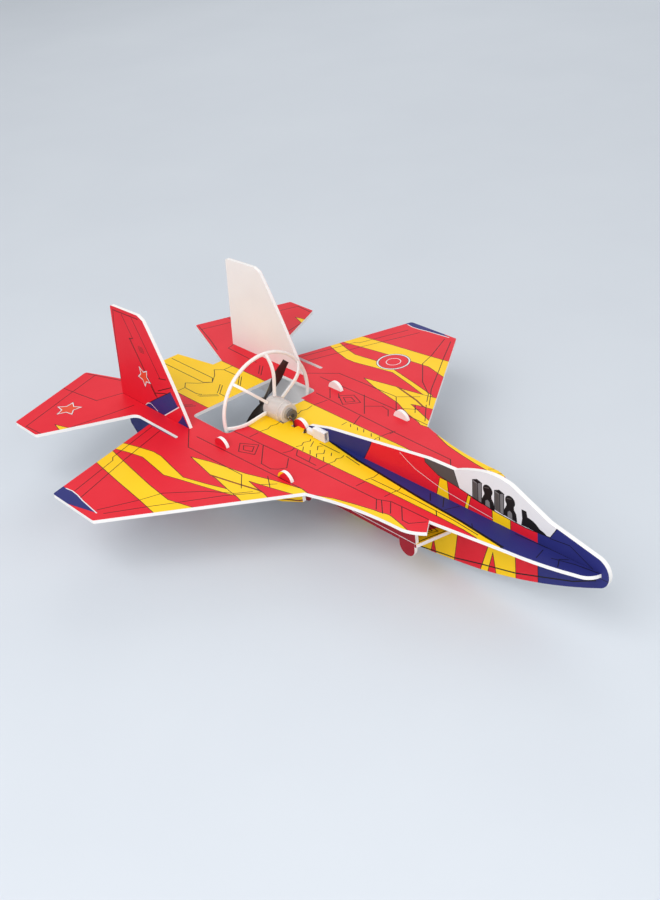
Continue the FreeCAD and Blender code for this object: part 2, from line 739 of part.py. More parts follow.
def blade_section(body, name, reach, chord, thick, sweep):
    """One cambered section across the blade: two arcs, pitched for its radius."""
    sketch = new_sketch(body, name, "XY_Plane")
    bind(sketch, "AttachmentOffset.Base.z", reach)
    pitch_reach = reach if reach.value > d.pitch_floor.value else d.pitch_floor
    around = pitch_reach * (2 * math.pi)
    slope = long_side(around, d.prop_pitch)
    cos_pitch = around / slope
    sin_pitch = d.prop_pitch / slope
    half_along = chord / 2 * sin_pitch
    half_across = chord / 2 * cos_pitch
    lead_edge = (d.prop_plane + half_along, sweep - half_across)
    trail_edge = (d.prop_plane - half_along, sweep + half_across)
    under = thick * d.blade_camber
    over = thick + under
    under_round = (chord * chord / 4 + under * under) / (under * 2)
    over_round = (chord * chord / 4 + over * over) / (over * 2)
    outline(sketch, [lead_edge + (over_round,), trail_edge + (-under_round,)])
    return sketch


def propeller():
    """Two pitched, cambered blades with flat-cut tips on a rounded hub."""
    body = new_body("propeller")
    zero = Size(0, "0")
    hub_front = d.prop_plane + d.hub_front
    bore = d.shaft_outer + d.hub_bore_gap
    sketch = new_sketch(body, "HubProfile", "XZ_Plane")
    outline(sketch, [
        (hub_end, zero), (hub_end, d.hub_outer - d.hub_round),
        (hub_end + d.hub_round, d.hub_outer, -d.hub_round), (hub_front, d.hub_outer),
        (hub_front, bore), (shaft_end, bore), (shaft_end, zero),
    ])
    revolve(body, sketch, "Hub")
    stations = (
        ("Root", d.blade_root_reach, d.blade_root_chord, d.blade_root_thick),
        ("Inner", d.blade_inner_reach, d.blade_inner_chord, d.blade_inner_thick),
        ("Broad", d.blade_broad_reach, d.blade_broad_chord, d.blade_broad_thick),
        ("Outer", d.blade_outer_reach, d.blade_outer_chord, d.blade_outer_thick),
        ("Tip", d.prop_radius, d.blade_tip_chord, d.blade_tip_thick),
    )
    sections = []
    for name, reach, chord, thick in stations:
        sweep = d.blade_tip_sweep * (reach / d.prop_radius) * (reach / d.prop_radius)
        sections.append(blade_section(body, "Blade" + name, reach, chord, thick, sweep))
    doc.recompute()
    blade = body.newObject("PartDesign::AdditiveLoft", "Blade")
    blade.Profile = sections[0]
    blade.Sections = sections[1:]
    doc.recompute()
    pair = body.newObject("PartDesign::PolarPattern", "Blades")
    pair.Originals = [blade]
    pair.Axis = (origin_plane(body, "X_Axis"), [""])
    pair.Angle = 360
    pair.Occurrences = 2
    body.Tip = pair
    doc.recompute()
    place(body, level=d.axis_level, turn=d.prop_turn)
    return body


# ---------------------------------------------------------------- charging socket and its leads
def rounded_box(y_low, y_high, z_low, z_high, radius):
    """Outline of a box's YZ section with rounded corners."""
    return [
        (y_high - radius, z_low), (y_high, z_low + radius, radius),
        (y_high, z_high - radius), (y_high - radius, z_high, radius),
        (y_low + radius, z_high), (y_low, z_high - radius, radius),
        (y_low, z_low + radius), (y_low + radius, z_low, radius),
    ]


def section_sketch(body, name, station, points):
    """A sketch across the X axis at a station."""
    sketch = new_sketch(body, name, "YZ_Plane")
    bind(sketch, "AttachmentOffset.Base.z", station)
    doc.recompute()
    outline(sketch, points)
    return sketch


socket_inner = -(half_keel + d.slot_gap)
socket_outer = socket_inner - d.socket_wide
socket_low = d.slot_gap
socket_middle = socket_low + d.socket_tall / 2
boot_middle = (socket_inner + socket_outer) / 2


def charge_socket():
    """Open-mouthed two-pin housing that lies against the dorsal's starboard side."""
    body = new_body("charge_socket")
    shell = rounded_box(socket_outer, socket_inner, socket_low, socket_low + d.socket_tall,
                        d.socket_round)
    sketch = section_sketch(body, "SocketSection", d.socket_rear, shell)
    pad(body, sketch, "SocketShell", d.socket_length)
    mouth = box_points(socket_outer + d.socket_wall, socket_inner - d.socket_wall,
                       socket_low + d.socket_wall, socket_low + d.socket_tall - d.socket_wall)
    sketch = section_sketch(body, "MouthSection", d.socket_rear + d.socket_length, mouth)
    before = body.Shape.Volume
    feature = body.newObject("PartDesign::Pocket", "Mouth")
    feature.Profile = sketch
    bind(feature, "Length", d.socket_length - d.socket_floor)
    doc.recompute()
    if body.Shape.Volume >= before - 1e-6:
        raise RuntimeError("charge_socket: the mouth cuts nothing")
    place(body)
    return body


def lead_boot():
    """Soft strain relief behind the socket that the two charging leads come out of."""
    body = new_body("lead_boot")
    shape = rounded_box(boot_middle - d.boot_wide / 2, boot_middle + d.boot_wide / 2,
                        socket_low, socket_low + d.boot_tall, d.boot_round)
    sketch = section_sketch(body, "BootSection", d.socket_rear - d.boot_length, shape)
    pad(body, sketch, "Boot", d.boot_length)
    place(body)
    return body


def charge_pin(name, side):
    """Contact pin standing in the socket's mouth."""
    pin = doc.addObject("Part::Cylinder", name)
    pin.Label = name
    bind(pin, "Radius", d.pin_outer)
    bind(pin, "Height", d.pin_length)
    pin.Placement.Rotation = Rotation(Vector(0, 1, 0), 90)
    bind(pin, "Placement.Base.x", frame_x + d.socket_rear + d.socket_floor)
    bind(pin, "Placement.Base.y", boot_middle)
    bind(pin, "Placement.Base.z", d.keel_depth + socket_middle + d.pin_pitch / 2 * side)
    return pin


def lead(name, points):
    """A wire whose route is straight runs joined by tangent arcs, as wide as the runs allow."""
    spots = [Vector(*point) for point in points]
    runs = [(b - a).Length for a, b in zip(spots, spots[1:])]
    pieces = []
    start = spots[0]
    for i in range(1, len(spots) - 1):
        back = (spots[i - 1] - spots[i]).normalize()
        ahead = (spots[i + 1] - spots[i]).normalize()
        turn = math.pi - back.getAngle(ahead)
        cut = 0.45 * min(runs[i - 1], runs[i])
        radius = cut / math.tan(turn / 2)
        enter = spots[i] + back * cut
        leave = spots[i] + ahead * cut
        inward = (back + ahead).normalize()
        crown = spots[i] + inward * (radius / math.cos(turn / 2) - radius)
        pieces.append(Part.LineSegment(start, enter).toShape())
        pieces.append(Part.Arc(enter, crown, leave).toShape())
        start = leave
        print(f"{name}: bend {i} radius {radius:.1f}")
    pieces.append(Part.LineSegment(start, spots[-1]).toShape())
    route = Part.Wire(pieces)
    circle = Part.Circle(spots[0], spots[1] - spots[0], d.lead_outer.value)
    section = Part.Wire(circle.toShape())
    tube = Part.Wire(route).makePipeShell([section], True, False)
    expected = math.pi * d.lead_outer.value ** 2 * route.Length
    if abs(tube.Volume - expected) > 0.02 * expected:
        raise RuntimeError(f"{name}: volume {tube.Volume:.2f}, expected {expected:.2f}")
    item = doc.addObject("Part::Feature", name)
    item.Label = name
    item.Shape = tube
    place(item)
    return item


def leads():
    """Two leads from the motor cap and two from the socket's boot, all down to the board."""
    cap_face = (motor_front + d.motor_cap_length).value
    board_rear = (d.cell_rear - d.board_length).value
    board_top = (plate_under - d.board_drop).value
    board_middle = board_top - d.board_thick.value / 2
    boot_rear = (d.socket_rear - d.boot_length).value
    boot_exit = (socket_low + d.boot_tall / 2).value
    motor_leads = (
        ("motor_lead_red", d.lead_red_x.value, d.lead_red_y.value, d.lead_red_rise.value),
        ("motor_lead_black", d.lead_black_x.value, d.lead_black_y.value, d.axis_level.value),
    )
    for name, down_x, y, level in motor_leads:
        lead(name, [
            (cap_face, y, level), (down_x, y, level),
            (down_x, y, board_middle), (board_rear, y, board_middle),
        ])
    down_x = d.lead_hole_x.value
    for name, side in (("charge_lead_red", 1), ("charge_lead_black", -1)):
        y = (d.lead_hole_y + d.lead_pair_pitch / 2 * side).value
        lead(name, [(boot_rear, y, boot_exit), (down_x, y, boot_exit), (down_x, y, board_top)])


# ---------------------------------------------------------------- battery pack under the plate
def battery_cell():
    """Pouch cell hung under the main plate beside the keel."""
    body = new_body("battery_cell")
    top = plate_under - d.tape_thick
    shape = rounded_box(-(d.cell_inner + d.cell_wide), -d.cell_inner, top - d.cell_thick,
                        top, d.cell_round)
    sketch = section_sketch(body, "CellSection", d.cell_rear, shape)
    pad(body, sketch, "Cell", d.cell_length)
    place(body)
    return body


def plain_block(name, x, y, z, long, wide, thick):
    block = doc.addObject("Part::Box", name)
    block.Label = name
    bind(block, "Length", long)
    bind(block, "Width", wide)
    bind(block, "Height", thick)
    place(block, x=x, y=y, level=z)
    return block


def battery_tape():
    """Double-sided foam pad that holds the cell to the plate."""
    return plain_block("battery_tape", d.cell_rear + d.tape_inset,
                       -(d.cell_inner + d.cell_wide - d.tape_inset), plate_under - d.tape_thick,
                       d.cell_length - d.tape_inset * 2, d.cell_wide - d.tape_inset * 2,
                       d.tape_thick)


def control_board():
    """Small circuit board at the cell's rear end, where all four leads are soldered."""
    return plain_block("control_board", d.cell_rear - d.board_length,
                       -(d.board_inner + d.board_wide),
                       plate_under - d.board_drop - d.board_thick,
                       d.board_length, d.board_wide, d.board_thick)


# ---------------------------------------------------------------- assembly and export
main_plate()
keel_plate()
side_plate("side_plate_port", 1)
side_plate("side_plate_starboard", -1)
belly_plate()
intake_wall("intake_wall_port", 1)
intake_wall("intake_wall_starboard", -1)
prop_guard()
motor_can()
motor_cap()
motor_shaft()
propeller()
charge_socket()
lead_boot()
charge_pin("charge_pin_upper", 1)
charge_pin("charge_pin_lower", -1)
leads()
battery_cell()
battery_tape()
control_board()
doc.recompute()

for item in doc.Objects:
    if "Invalid" in item.State or "Error" in item.State:
        raise RuntimeError(f"{item.Label} did not recompute: {item.State}")

os.makedirs("parts", exist_ok=True)
for item in doc.RootObjects:
    if not hasattr(item, "Shape"):
        continue
    if item.Shape.isNull() or not item.Shape.isValid():
        raise RuntimeError(f"{item.Label} has no valid shape")
    item.Shape.exportStep(f"parts/{item.Label}.step")
    box = item.Shape.BoundBox
    print(f"{item.Label}: {len(item.Shape.Solids)} solid, {item.Shape.Volume:.1f} mm3, "
          f"{box.XLength:.1f} x {box.YLength:.1f} x {box.ZLength:.1f} mm")
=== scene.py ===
import json
import math
import bmesh
import bpy
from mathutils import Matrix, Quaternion, Vector
from mathutils.geometry import delaunay_2d_cdt


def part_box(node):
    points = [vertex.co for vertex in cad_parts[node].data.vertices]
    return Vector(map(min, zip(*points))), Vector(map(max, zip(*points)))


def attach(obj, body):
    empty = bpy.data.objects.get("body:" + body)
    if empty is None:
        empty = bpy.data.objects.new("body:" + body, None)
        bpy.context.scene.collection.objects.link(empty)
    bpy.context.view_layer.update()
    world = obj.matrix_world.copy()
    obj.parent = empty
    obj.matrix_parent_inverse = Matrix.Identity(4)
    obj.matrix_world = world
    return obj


# A foam hand-launched jet: printed film on seven die-cut foam sheets, the moulded guard, the motor
# and propeller, the charging socket and the small battery pack under the plate.
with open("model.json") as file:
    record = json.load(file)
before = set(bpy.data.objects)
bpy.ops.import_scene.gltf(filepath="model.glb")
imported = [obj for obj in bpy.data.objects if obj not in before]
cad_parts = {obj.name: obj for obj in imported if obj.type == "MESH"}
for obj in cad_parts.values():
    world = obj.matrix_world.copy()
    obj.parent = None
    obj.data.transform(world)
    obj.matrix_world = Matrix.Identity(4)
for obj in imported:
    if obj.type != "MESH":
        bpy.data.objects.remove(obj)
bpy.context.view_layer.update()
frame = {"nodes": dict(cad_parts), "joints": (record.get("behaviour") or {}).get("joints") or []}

# ---------------------------------------------------------------- camera and floor
# The jet stands on its keel on a pale studio floor and is seen from ahead, high on the starboard
# side. Four square softboxes and a pale sky light it evenly.
MM = 0.001
ring_x, _, axis_z = frame["joints"][0]["pos_m"]
plate_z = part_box("main_plate")[1].z
# The heading runs from the starboard side, at 0 degrees, to the nose, at 90.
CAMERA_HEADING = math.radians(51.946)
CAMERA_ELEVATION = math.radians(30.139)
CAMERA_ROLL = math.radians(-6.309)
CAMERA_PLACE = Vector((ring_x + 0.68291, -0.48248, plate_z + 0.44587))
CAMERA_LENS = 53.03
FLOOR_SIDE = 40
MOTTLE_PER_METRE = 6.0

back = Vector((
    math.sin(CAMERA_HEADING) * math.cos(CAMERA_ELEVATION),
    -math.cos(CAMERA_HEADING) * math.cos(CAMERA_ELEVATION),
    math.sin(CAMERA_ELEVATION),
))
lens = bpy.data.cameras.new("camera")
lens.lens = CAMERA_LENS
lens.clip_start = 0.01
lens.clip_end = 50
camera = bpy.data.objects.new("camera", lens)
bpy.context.scene.collection.objects.link(camera)
camera.location = CAMERA_PLACE
camera.rotation_mode = "QUATERNION"
camera.rotation_quaternion = Quaternion(back, CAMERA_ROLL) @ (-back).to_track_quat("-Z", "Y")
bpy.context.scene.camera = camera


def linear(code):
    """An sRGB hex colour as linear numbers."""
    parts = [int(code[i:i + 2], 16) / 255 for i in (1, 3, 5)]
    return [p / 12.92 if p <= 0.04045 else ((p + 0.055) / 1.055) ** 2.4 for p in parts] + [1.0]


def add(tree, kind, settings, inputs):
    """Adds a node, sets its properties, and links or sets its inputs."""
    item = tree.nodes.new(kind)
    for name, value in settings.items():
        setattr(item, name, value)
    for name, value in inputs.items():
        if isinstance(value, bpy.types.NodeSocket):
            tree.links.new(value, item.inputs[name])
        else:
            item.inputs[name].default_value = value
    return item


# A Mix node repeats the names of its colour sockets, so they are called by number.
COLOUR_A = 6
COLOUR_B = 7
COLOUR_OUT = 2


def new_material(name):
    """A material with no shader yet, and the piece's own coordinates in metres."""
    material = bpy.data.materials.new(name)
    material.use_nodes = True
    tree = material.node_tree
    tree.nodes.clear()
    place = add(tree, "ShaderNodeTexCoord", {}, {}).outputs["Object"]
    return material, tree, place


def give(item, material):
    """Puts a material on an object in place of what it had."""
    item.data.materials.clear()
    item.data.materials.append(material)


# Emulsion paint, rolled on: matt pale grey, mottled over about 170 mm, and clear from below.
floor_paint, tree, place = new_material("matt emulsion floor")
mottle = add(tree, "ShaderNodeTexNoise", {}, {
    "Vector": place, "Scale": MOTTLE_PER_METRE, "Detail": 4.0,
})
tone = add(tree, "ShaderNodeMix", {"data_type": "RGBA"}, {
    "Factor": mottle.outputs["Fac"], COLOUR_A: linear("#CCD1D8"), COLOUR_B: linear("#D3D8DE"),
})
paint = add(tree, "ShaderNodeBsdfPrincipled", {}, {
    "Base Color": tone.outputs[COLOUR_OUT], "Roughness": 0.9, "Specular IOR Level": 0.2,
})
clear = add(tree, "ShaderNodeBsdfTransparent", {}, {})
side = add(tree, "ShaderNodeNewGeometry", {}, {})
one_way = add(tree, "ShaderNodeMixShader", {}, {
    0: side.outputs["Backfacing"], 1: paint.outputs[0], 2: clear.outputs[0],
})
add(tree, "ShaderNodeOutputMaterial", {}, {"Surface": one_way.outputs[0]})
bpy.ops.mesh.primitive_plane_add(size=FLOOR_SIDE, location=(0, 0, 0))
floor = bpy.context.object
floor.name = "floor"
give(floor, floor_paint)


def soft_lamp(name, place, width, power):
    """A square softbox aimed at the middle of the jet."""
    lamp = bpy.data.lights.new(name, "AREA")
    lamp.shape = "SQUARE"
    lamp.size = width
    lamp.energy = power
    item = bpy.data.objects.new(name, lamp)
    bpy.context.scene.collection.objects.link(item)
    item.location = place
    item.rotation_mode = "QUATERNION"
    item.rotation_quaternion = (Vector((0, 0, plate_z)) - item.location).to_track_quat("-Z", "Y")


soft_lamp("key_lamp", (0.25, -1.2, 1.5), width=1.5, power=20)
soft_lamp("fill_lamp", (1.2, -0.75, 0.75), width=0.8, power=5.5)
soft_lamp("front_lamp", (1.7, 0.1, 0.9), width=1.2, power=4)
soft_lamp("back_lamp", (-1.2, 1.2, 1.3), width=1.2, power=6)
world = bpy.data.worlds.new("studio")
bpy.context.scene.world = world
world.use_nodes = True
sky = world.node_tree.nodes["Background"]
sky.inputs["Color"].default_value = linear("#F2F5F8")
sky.inputs["Strength"].default_value = 0.65
bpy.context.scene.view_settings.view_transform = "Standard"


# ---------------------------------------------------------------- foam board
# The seven sheets are expanded polystyrene board, 2.5 mm thick and 3 mm in the keel, die-cut and
# locked together by slits and tabs. A face has a smooth skin, and a cut edge shows the open cells,
# so it is duller and slightly fuzzy.
FOAM_CLEAN = "#F3F0EE"
FOAM_HANDLED = "#E9E5E2"
# The cells are 0.9 mm across, drawn as coarse as they need to show. The skin swells every 11 mm,
# and handling has greyed it in patches of about 29 mm.
CELL_MM = 0.9
SWELLS_PER_METRE = 90.0
GRIME_PER_METRE = 35.0
# A Mix node's two values in, by number as its colours are.
VALUE_A = 2
VALUE_B = 3


def foam_board(name, across):
    """White foam, skinned on the faces that look along across (0, 1 or 2 for X, Y or Z)."""
    material, tree, place = new_material(name)
    coords = add(tree, "ShaderNodeTexCoord", {}, {})
    axes = add(tree, "ShaderNodeSeparateXYZ", {}, {"Vector": coords.outputs["Normal"]})
    facing = add(tree, "ShaderNodeMath", {"operation": "ABSOLUTE"}, {0: axes.outputs[across]})
    # 1 on a cut edge and 0 on a skinned face.
    edge = add(tree, "ShaderNodeMapRange", {}, {
        "Value": facing.outputs[0], "From Min": 0.9, "From Max": 0.99, "To Min": 1.0, "To Max": 0.0,
    })
    cells = add(tree, "ShaderNodeTexVoronoi", {"feature": "SMOOTH_F1"}, {
        "Vector": place, "Scale": 1 / (CELL_MM * MM), "Smoothness": 0.6,
    })
    swell = add(tree, "ShaderNodeTexNoise", {}, {
        "Vector": place, "Scale": SWELLS_PER_METRE, "Detail": 3.0,
    })
    height = add(tree, "ShaderNodeMix", {"data_type": "FLOAT"}, {
        "Factor": edge.outputs[0], VALUE_A: swell.outputs["Fac"],
        VALUE_B: cells.outputs["Distance"],
    })
    bump = add(tree, "ShaderNodeBump", {}, {
        "Height": height.outputs[0], "Strength": 0.45, "Distance": 0.25 * MM,
    })
    grime = add(tree, "ShaderNodeTexNoise", {}, {
        "Vector": place, "Scale": GRIME_PER_METRE, "Detail": 5.0,
    })
    white = add(tree, "ShaderNodeMix", {"data_type": "RGBA"}, {
        "Factor": grime.outputs["Fac"],
        COLOUR_A: linear(FOAM_CLEAN), COLOUR_B: linear(FOAM_HANDLED),
    })
    dull = add(tree, "ShaderNodeMapRange", {}, {
        "Value": edge.outputs[0], "To Min": 0.5, "To Max": 0.95,
    })
    board = add(tree, "ShaderNodeBsdfPrincipled", {}, {
        "Base Color": white.outputs[COLOUR_OUT], "Roughness": dull.outputs[0],
        "Normal": bump.outputs[0], "Specular IOR Level": 0.35,
    })
    add(tree, "ShaderNodeOutputMaterial", {}, {"Surface": board.outputs[0]})
    return material


def give_nodes(material, *names):
    """Puts a material on CAD nodes."""
    for name in names:
        give(frame["nodes"][name], material)


level_foam = foam_board("die-cut foam board, level", across=2)
give_nodes(level_foam, "main_plate", "belly_plate")
upright_foam = foam_board("die-cut foam board, upright", across=1)
give_nodes(upright_foam, "keel_plate", "side_plate_port", "side_plate_starboard",
           "intake_wall_port", "intake_wall_starboard")


# ---------------------------------------------------------------- main plate print
# Each sheet has a thin printed film on one face, laid on before it is die-cut. The main plate's is
# red, with a yellow centre stripe, a blue spear that widens into the blue nose, yellow flames and
# blue tips on the wings, and thin panel lines. Each colour has a thin black edge.

# Print is laid out in millimetres: ahead of the guard ring, and out from the centre line or up
# from the plate.
FILM_THICK = 0.05 * MM
EDGE_WIDE = 0.5
LINE_WIDE = 0.6
# The ink's density drifts over about 36 mm, and the cells ripple the film every 4 mm. Each ink has
# its full colour and its colour where it is thin.
DRIFT_PER_METRE = 28.0
RIPPLES_PER_METRE = 260.0
# The red with painted shade is a darker red, partly its printed colour and partly painted shade, for
# the intake walls and the belly plate's long edges.
INK_COLOURS = {
    "red": ("#E11F30", "#D61A2B"), "yellow": ("#FBCE14", "#F4C10C"),
    "blue": ("#2B2F76", "#25286A"), "black": ("#0F0B0D", "#171214"),
    "grey": ("#56504F", "#4C4645"), "white": ("#E4E0E1", "#DBD7D9"),
    "orange": ("#E4502F", "#DA452B"), "dark red": ("#A01426", "#921020"),
    "dark line": ("#7B1D1C", "#6B1818"), "pale grey": ("#7E7A7C", "#706C6E"),
    "brown": ("#8E4A16", "#7F4212"),
}


def printed_ink(name):
    """Offset ink on clear film: even colour with a slight drift in density, satin gloss."""
    full, thin = INK_COLOURS[name]
    material, tree, place = new_material(f"printed film, {name}")
    drift = add(tree, "ShaderNodeTexNoise", {}, {
        "Vector": place, "Scale": DRIFT_PER_METRE, "Detail": 6.0,
    })
    shade = add(tree, "ShaderNodeMix", {"data_type": "RGBA"}, {
        "Factor": drift.outputs["Fac"], COLOUR_A: linear(full), COLOUR_B: linear(thin),
    })
    ripple = add(tree, "ShaderNodeTexNoise", {}, {
        "Vector": place, "Scale": RIPPLES_PER_METRE, "Detail": 2.0,
    })
    bump = add(tree, "ShaderNodeBump", {}, {
        "Height": ripple.outputs["Fac"], "Strength": 0.25, "Distance": 0.2 * MM,
    })
    gloss = add(tree, "ShaderNodeMapRange", {}, {
        "Value": drift.outputs["Fac"], "To Min": 0.42, "To Max": 0.58,
    })
    film = add(tree, "ShaderNodeBsdfPrincipled", {}, {
        "Base Color": shade.outputs[COLOUR_OUT], "Roughness": gloss.outputs[0],
        "Normal": bump.outputs[0], "Specular IOR Level": 0.2,
    })
    add(tree, "ShaderNodeOutputMaterial", {}, {"Surface": film.outputs[0]})
    return material


INKS = {name: printed_ink(name) for name in INK_COLOURS}


def line(ink, *corners, width=EDGE_WIDE):
    """A printed line through some corners, as one strip for each run."""
    strips = []
    for start, end in zip(corners, corners[1:]):
        run = Vector(end) - Vector(start)
        side = Vector((-run.y, run.x)).normalized() * width / 2
        tip = run.normalized() * width / 2
        low, high = Vector(start) - tip, Vector(end) + tip
        strips.append((ink, [low - side, high - side, high + side, low + side]))
    return strips


def area(ink, *corners):
    """A printed area with straight sides."""
    return [(ink, [Vector(corner) for corner in corners])]


def thin_lines(runs):
    """Black panel lines, each through its own corners."""
    return [strip for corners in runs for strip in line("black", *corners, width=LINE_WIDE)]


def counter_clockwise(corners):
    """The corners in the order that runs counter-clockwise."""
    doubled = sum(a.x * b.y - b.x * a.y for a, b in zip(corners, corners[1:] + corners[:1]))
    return corners if doubled > 0 else corners[::-1]


# Corners of a sheet closer than WELD are one. A face is taken when it looks the SAME_WAY, which is
# a cosine, and stands at the SAME_LEVEL. CUT_NEAR is in the print's millimetres, and edges shorter
# than a SLIVER close up.
WELD = 0.001 * MM
SAME_WAY = 0.999
SAME_LEVEL = 0.01 * MM
CUT_NEAR = 0.0005
SLIVER = 0.002 * MM
INSIDE_TRIANGLES = 1


def printed_skin(name, node, facing, base, marks, level=None):
    """The film on one flat face of a sheet, cut along the outlines of its print.

    base is the ink of the bare sheet. level is the face's distance along facing; without it the
    outermost face is taken.
    """
    facing = Vector(facing)
    upright = facing.z == 0
    sheet = bmesh.new()
    sheet.from_mesh(frame["nodes"][node].data)
    bmesh.ops.remove_doubles(sheet, verts=sheet.verts, dist=WELD)
    sheet.normal_update()
    face = [f for f in sheet.faces if f.normal.dot(facing) > SAME_WAY]
    if level is None:
        level = max(f.calc_center_median().dot(facing) for f in face)
    face = [f for f in face if abs(f.calc_center_median().dot(facing) - level) < SAME_LEVEL]
    outlines = []
    for triangle in face:
        corners = [Vector((v.co.x - ring_x, (v.co.z - plate_z) if upright else v.co.y)) / MM
                   for v in triangle.verts]
        outlines.append(counter_clockwise(corners))
    sheet.free()
    foam_faces = len(outlines)
    outlines += [counter_clockwise(corners) for _, corners in marks]
    spots = []
    polygons = []
    for corners in outlines:
        polygons.append(list(range(len(spots), len(spots) + len(corners))))
        spots += corners
    cut_spots, _, triangles, _, _, lies_in = delaunay_2d_cdt(
        spots, [], polygons, INSIDE_TRIANGLES, CUT_NEAR, True)
    inks = sorted({base} | {ink for ink, _ in marks})
    kept = []
    slots = []
    # A triangle off the sheet is dropped; on it, the outline printed last gives the ink.
    for corners, over in zip(triangles, lies_in):
        if not over or min(over) >= foam_faces:
            continue
        top = max(over)
        ink = marks[top - foam_faces][0] if top >= foam_faces else base
        kept.append(corners)
        slots.append(inks.index(ink))
    if upright:
        places = [Vector((ring_x + p.x * MM, level * facing.y, plate_z + p.y * MM))
                  for p in cut_spots]
        if facing.y > 0:
            kept = [corners[::-1] for corners in kept]
    else:
        places = [Vector((ring_x + p.x * MM, p.y * MM, level)) for p in cut_spots]
    mesh = bpy.data.meshes.new(name)
    mesh.from_pydata(places, [], kept)
    mesh.polygons.foreach_set("material_index", slots)
    skin = bpy.data.objects.new(name, mesh)
    bpy.context.scene.collection.objects.link(skin)
    for ink in inks:
        mesh.materials.append(INKS[ink])
    bpy.ops.object.select_all(action="DESELECT")
    skin.select_set(True)
    bpy.context.view_layer.objects.active = skin
    bpy.ops.object.mode_set(mode="EDIT")
    bpy.ops.mesh.select_all(action="SELECT")
    bpy.ops.mesh.remove_doubles(threshold=SLIVER)
    bpy.ops.mesh.delete_loose()
    bpy.ops.object.mode_set(mode="OBJECT")
    wall = skin.modifiers.new("film", "SOLIDIFY")
    wall.thickness = FILM_THICK
    wall.offset = 1
    bpy.ops.object.modifier_apply(modifier=wall.name)
    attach(skin, "airframe")


def edged(ink, *corners, width=EDGE_WIDE):
    """An area with a black line printed round it."""
    return area(ink, *corners) + line("black", *corners, corners[0], width=width)


def mirrored(marks):
    """The same print on the other side of the centre line."""
    return [(ink, [Vector((p.x, -p.y)) for p in corners]) for ink, corners in marks]


def both_sides(marks):
    """The print on both sides of the centre line."""
    return marks + mirrored(marks)


def wing_flame(shift):
    """The forked flame at a wing's root; shift moves its points forward, in millimetres."""
    half = shift / 2
    return (
        edged("yellow", (-60, 99), (-42, 96), (-28, 92), (-15, 89), (-6, 89), (12, 92.4), (29, 95.4),
              (48 + half, 90.2), (64 + shift, 85), (74 + half, 86.4), (70 + shift, 88.2),
              (48 + half, 94), (29, 98.8), (16, 102.4), (0, 100.2), (-15, 98.2), (-28, 101),
              (-39, 104.2), (-60, 108))
        + edged("yellow", (11 + shift, 76.2), (27 + shift, 71.4), (58 + shift, 65.3),
              (79 + half, 58.6), (93 + half, 55.2), (101, 53.3), (120, 56), (112, 75), (96, 92),
              (83 + half, 88.4), (76 + half, 86.8), (66 + shift, 85.6), (47 + shift, 82),
              (41 + shift, 81.8))
        + line("brown", (41 + shift, 81.8), (66 + shift, 76.2), (80 + half, 72.8),
               (85 + half, 72.4), width=1.4)
        + edged("red", (67 + shift, 69.8), (83 + half, 66), (101, 61.4), (112, 60), (106, 78),
                (92, 74.2), (85, 72.6), (76 + half, 71.6))
    )


# The centre stripe's edges; its port edge stands up to 4 mm further out beside the dorsal.
stripe_port = (
    (-140, 26.5), (-40, 26.5), (6, 25.6), (60, 25.3), (115, 25.3), (150, 23), (190, 20.4),
    (223, 21), (231, 24), (250, 24),
)
stripe_starboard = (
    (250, -24), (231, -24), (223, -21), (212, -19.7), (190, -19.4), (150, -19.8), (110, -21.2),
    (50, -22.8), (6, -24.5), (-40, -26.5), (-140, -26.5),
)
# The port half of the blue spear, which is the same on both sides.
spear_half = (
    (66, 0.8), (82, 3.3), (102, 6.2), (122, 7.8), (167, 11.9), (204, 14.1), (233, 17.2), (241, 18),
    (244, 30), (310, 30),
)
centre_marks = (
    edged("yellow", *stripe_port, *stripe_starboard)
    + edged("blue", *spear_half, *[(x, -y) for x, y in reversed(spear_half)], width=1.7)
)
# The flame's outer prong, which is the same on both wings.
wing_marks = (
    edged("yellow", (-60, 119), (-32, 123.6), (-2, 127.4), (30, 131), (52, 134), (70, 136),
          (85, 110), (66, 112.8), (55, 115.6), (44, 118.4), (20, 116), (-10, 111.6),
          (-37, 107.3), (-60, 104))
)


def wing_tip(shift):
    """The blue patch on a wing's tip with its white line; shift moves it outward."""
    rim = [(x, y + shift) for x, y in ((-21, 155.4), (-15, 154.4), (-7.8, 154.8), (1.3, 156.4),
                                       (21, 158.4))]
    return (area("blue", (-40, 155 + shift), *rim, (8, 162 + shift), (-7, 166 + shift), (-40, 176))
            + line("white", *rim, width=0.8))


# The strakes' yellow edges. The port one is cut a little differently and has two ticks.
strake_starboard = edged(
    "yellow", (112, -54), (116, -51.6), (125, -47.7), (131, -46), (140, -43.5), (150, -41.2),
    (155, -40), (160, -39.4), (163, -38.2), (166.5, -37.6), (170, -38.2), (180, -40.2),
    (187, -42), (190, -55), (116, -60),
)
strake_port = (
    edged("yellow", (120, 50.4), (135, 45.2), (150, 42.3), (165, 40), (178, 38.5), (190, 37.6),
          (192, 55), (116, 60))
    + line("black", (176, 40.4), (179.6, 43.6))
    + line("black", (184, 39.6), (187.4, 43))
)


def around(middle, radius, angle):
    """The point at a radius and an angle, in radians, from a middle."""
    return Vector(middle) + Vector((math.cos(angle), math.sin(angle))) * radius


STAR_ARMS = 5
STAR_WAIST = 0.5
STAR_LINE = 0.5
STAR_RIM = 1.7


def star(ink, middle, radius, turn):
    """A plain star; turn points its first arm, in degrees from forward."""
    corners = []
    for i in range(STAR_ARMS * 2):
        reach = radius if i % 2 == 0 else radius * STAR_WAIST
        corners.append(around(middle, reach, math.radians(turn + 180 / STAR_ARMS * i)))
    return area(ink, *corners)


def star_mark(middle, radius, turn):
    """A plain orange star with a pale rim and a thin black edge."""
    return (star("black", middle, radius + STAR_LINE, turn) + star("white", middle, radius, turn)
            + star("orange", middle, radius - STAR_RIM, turn))


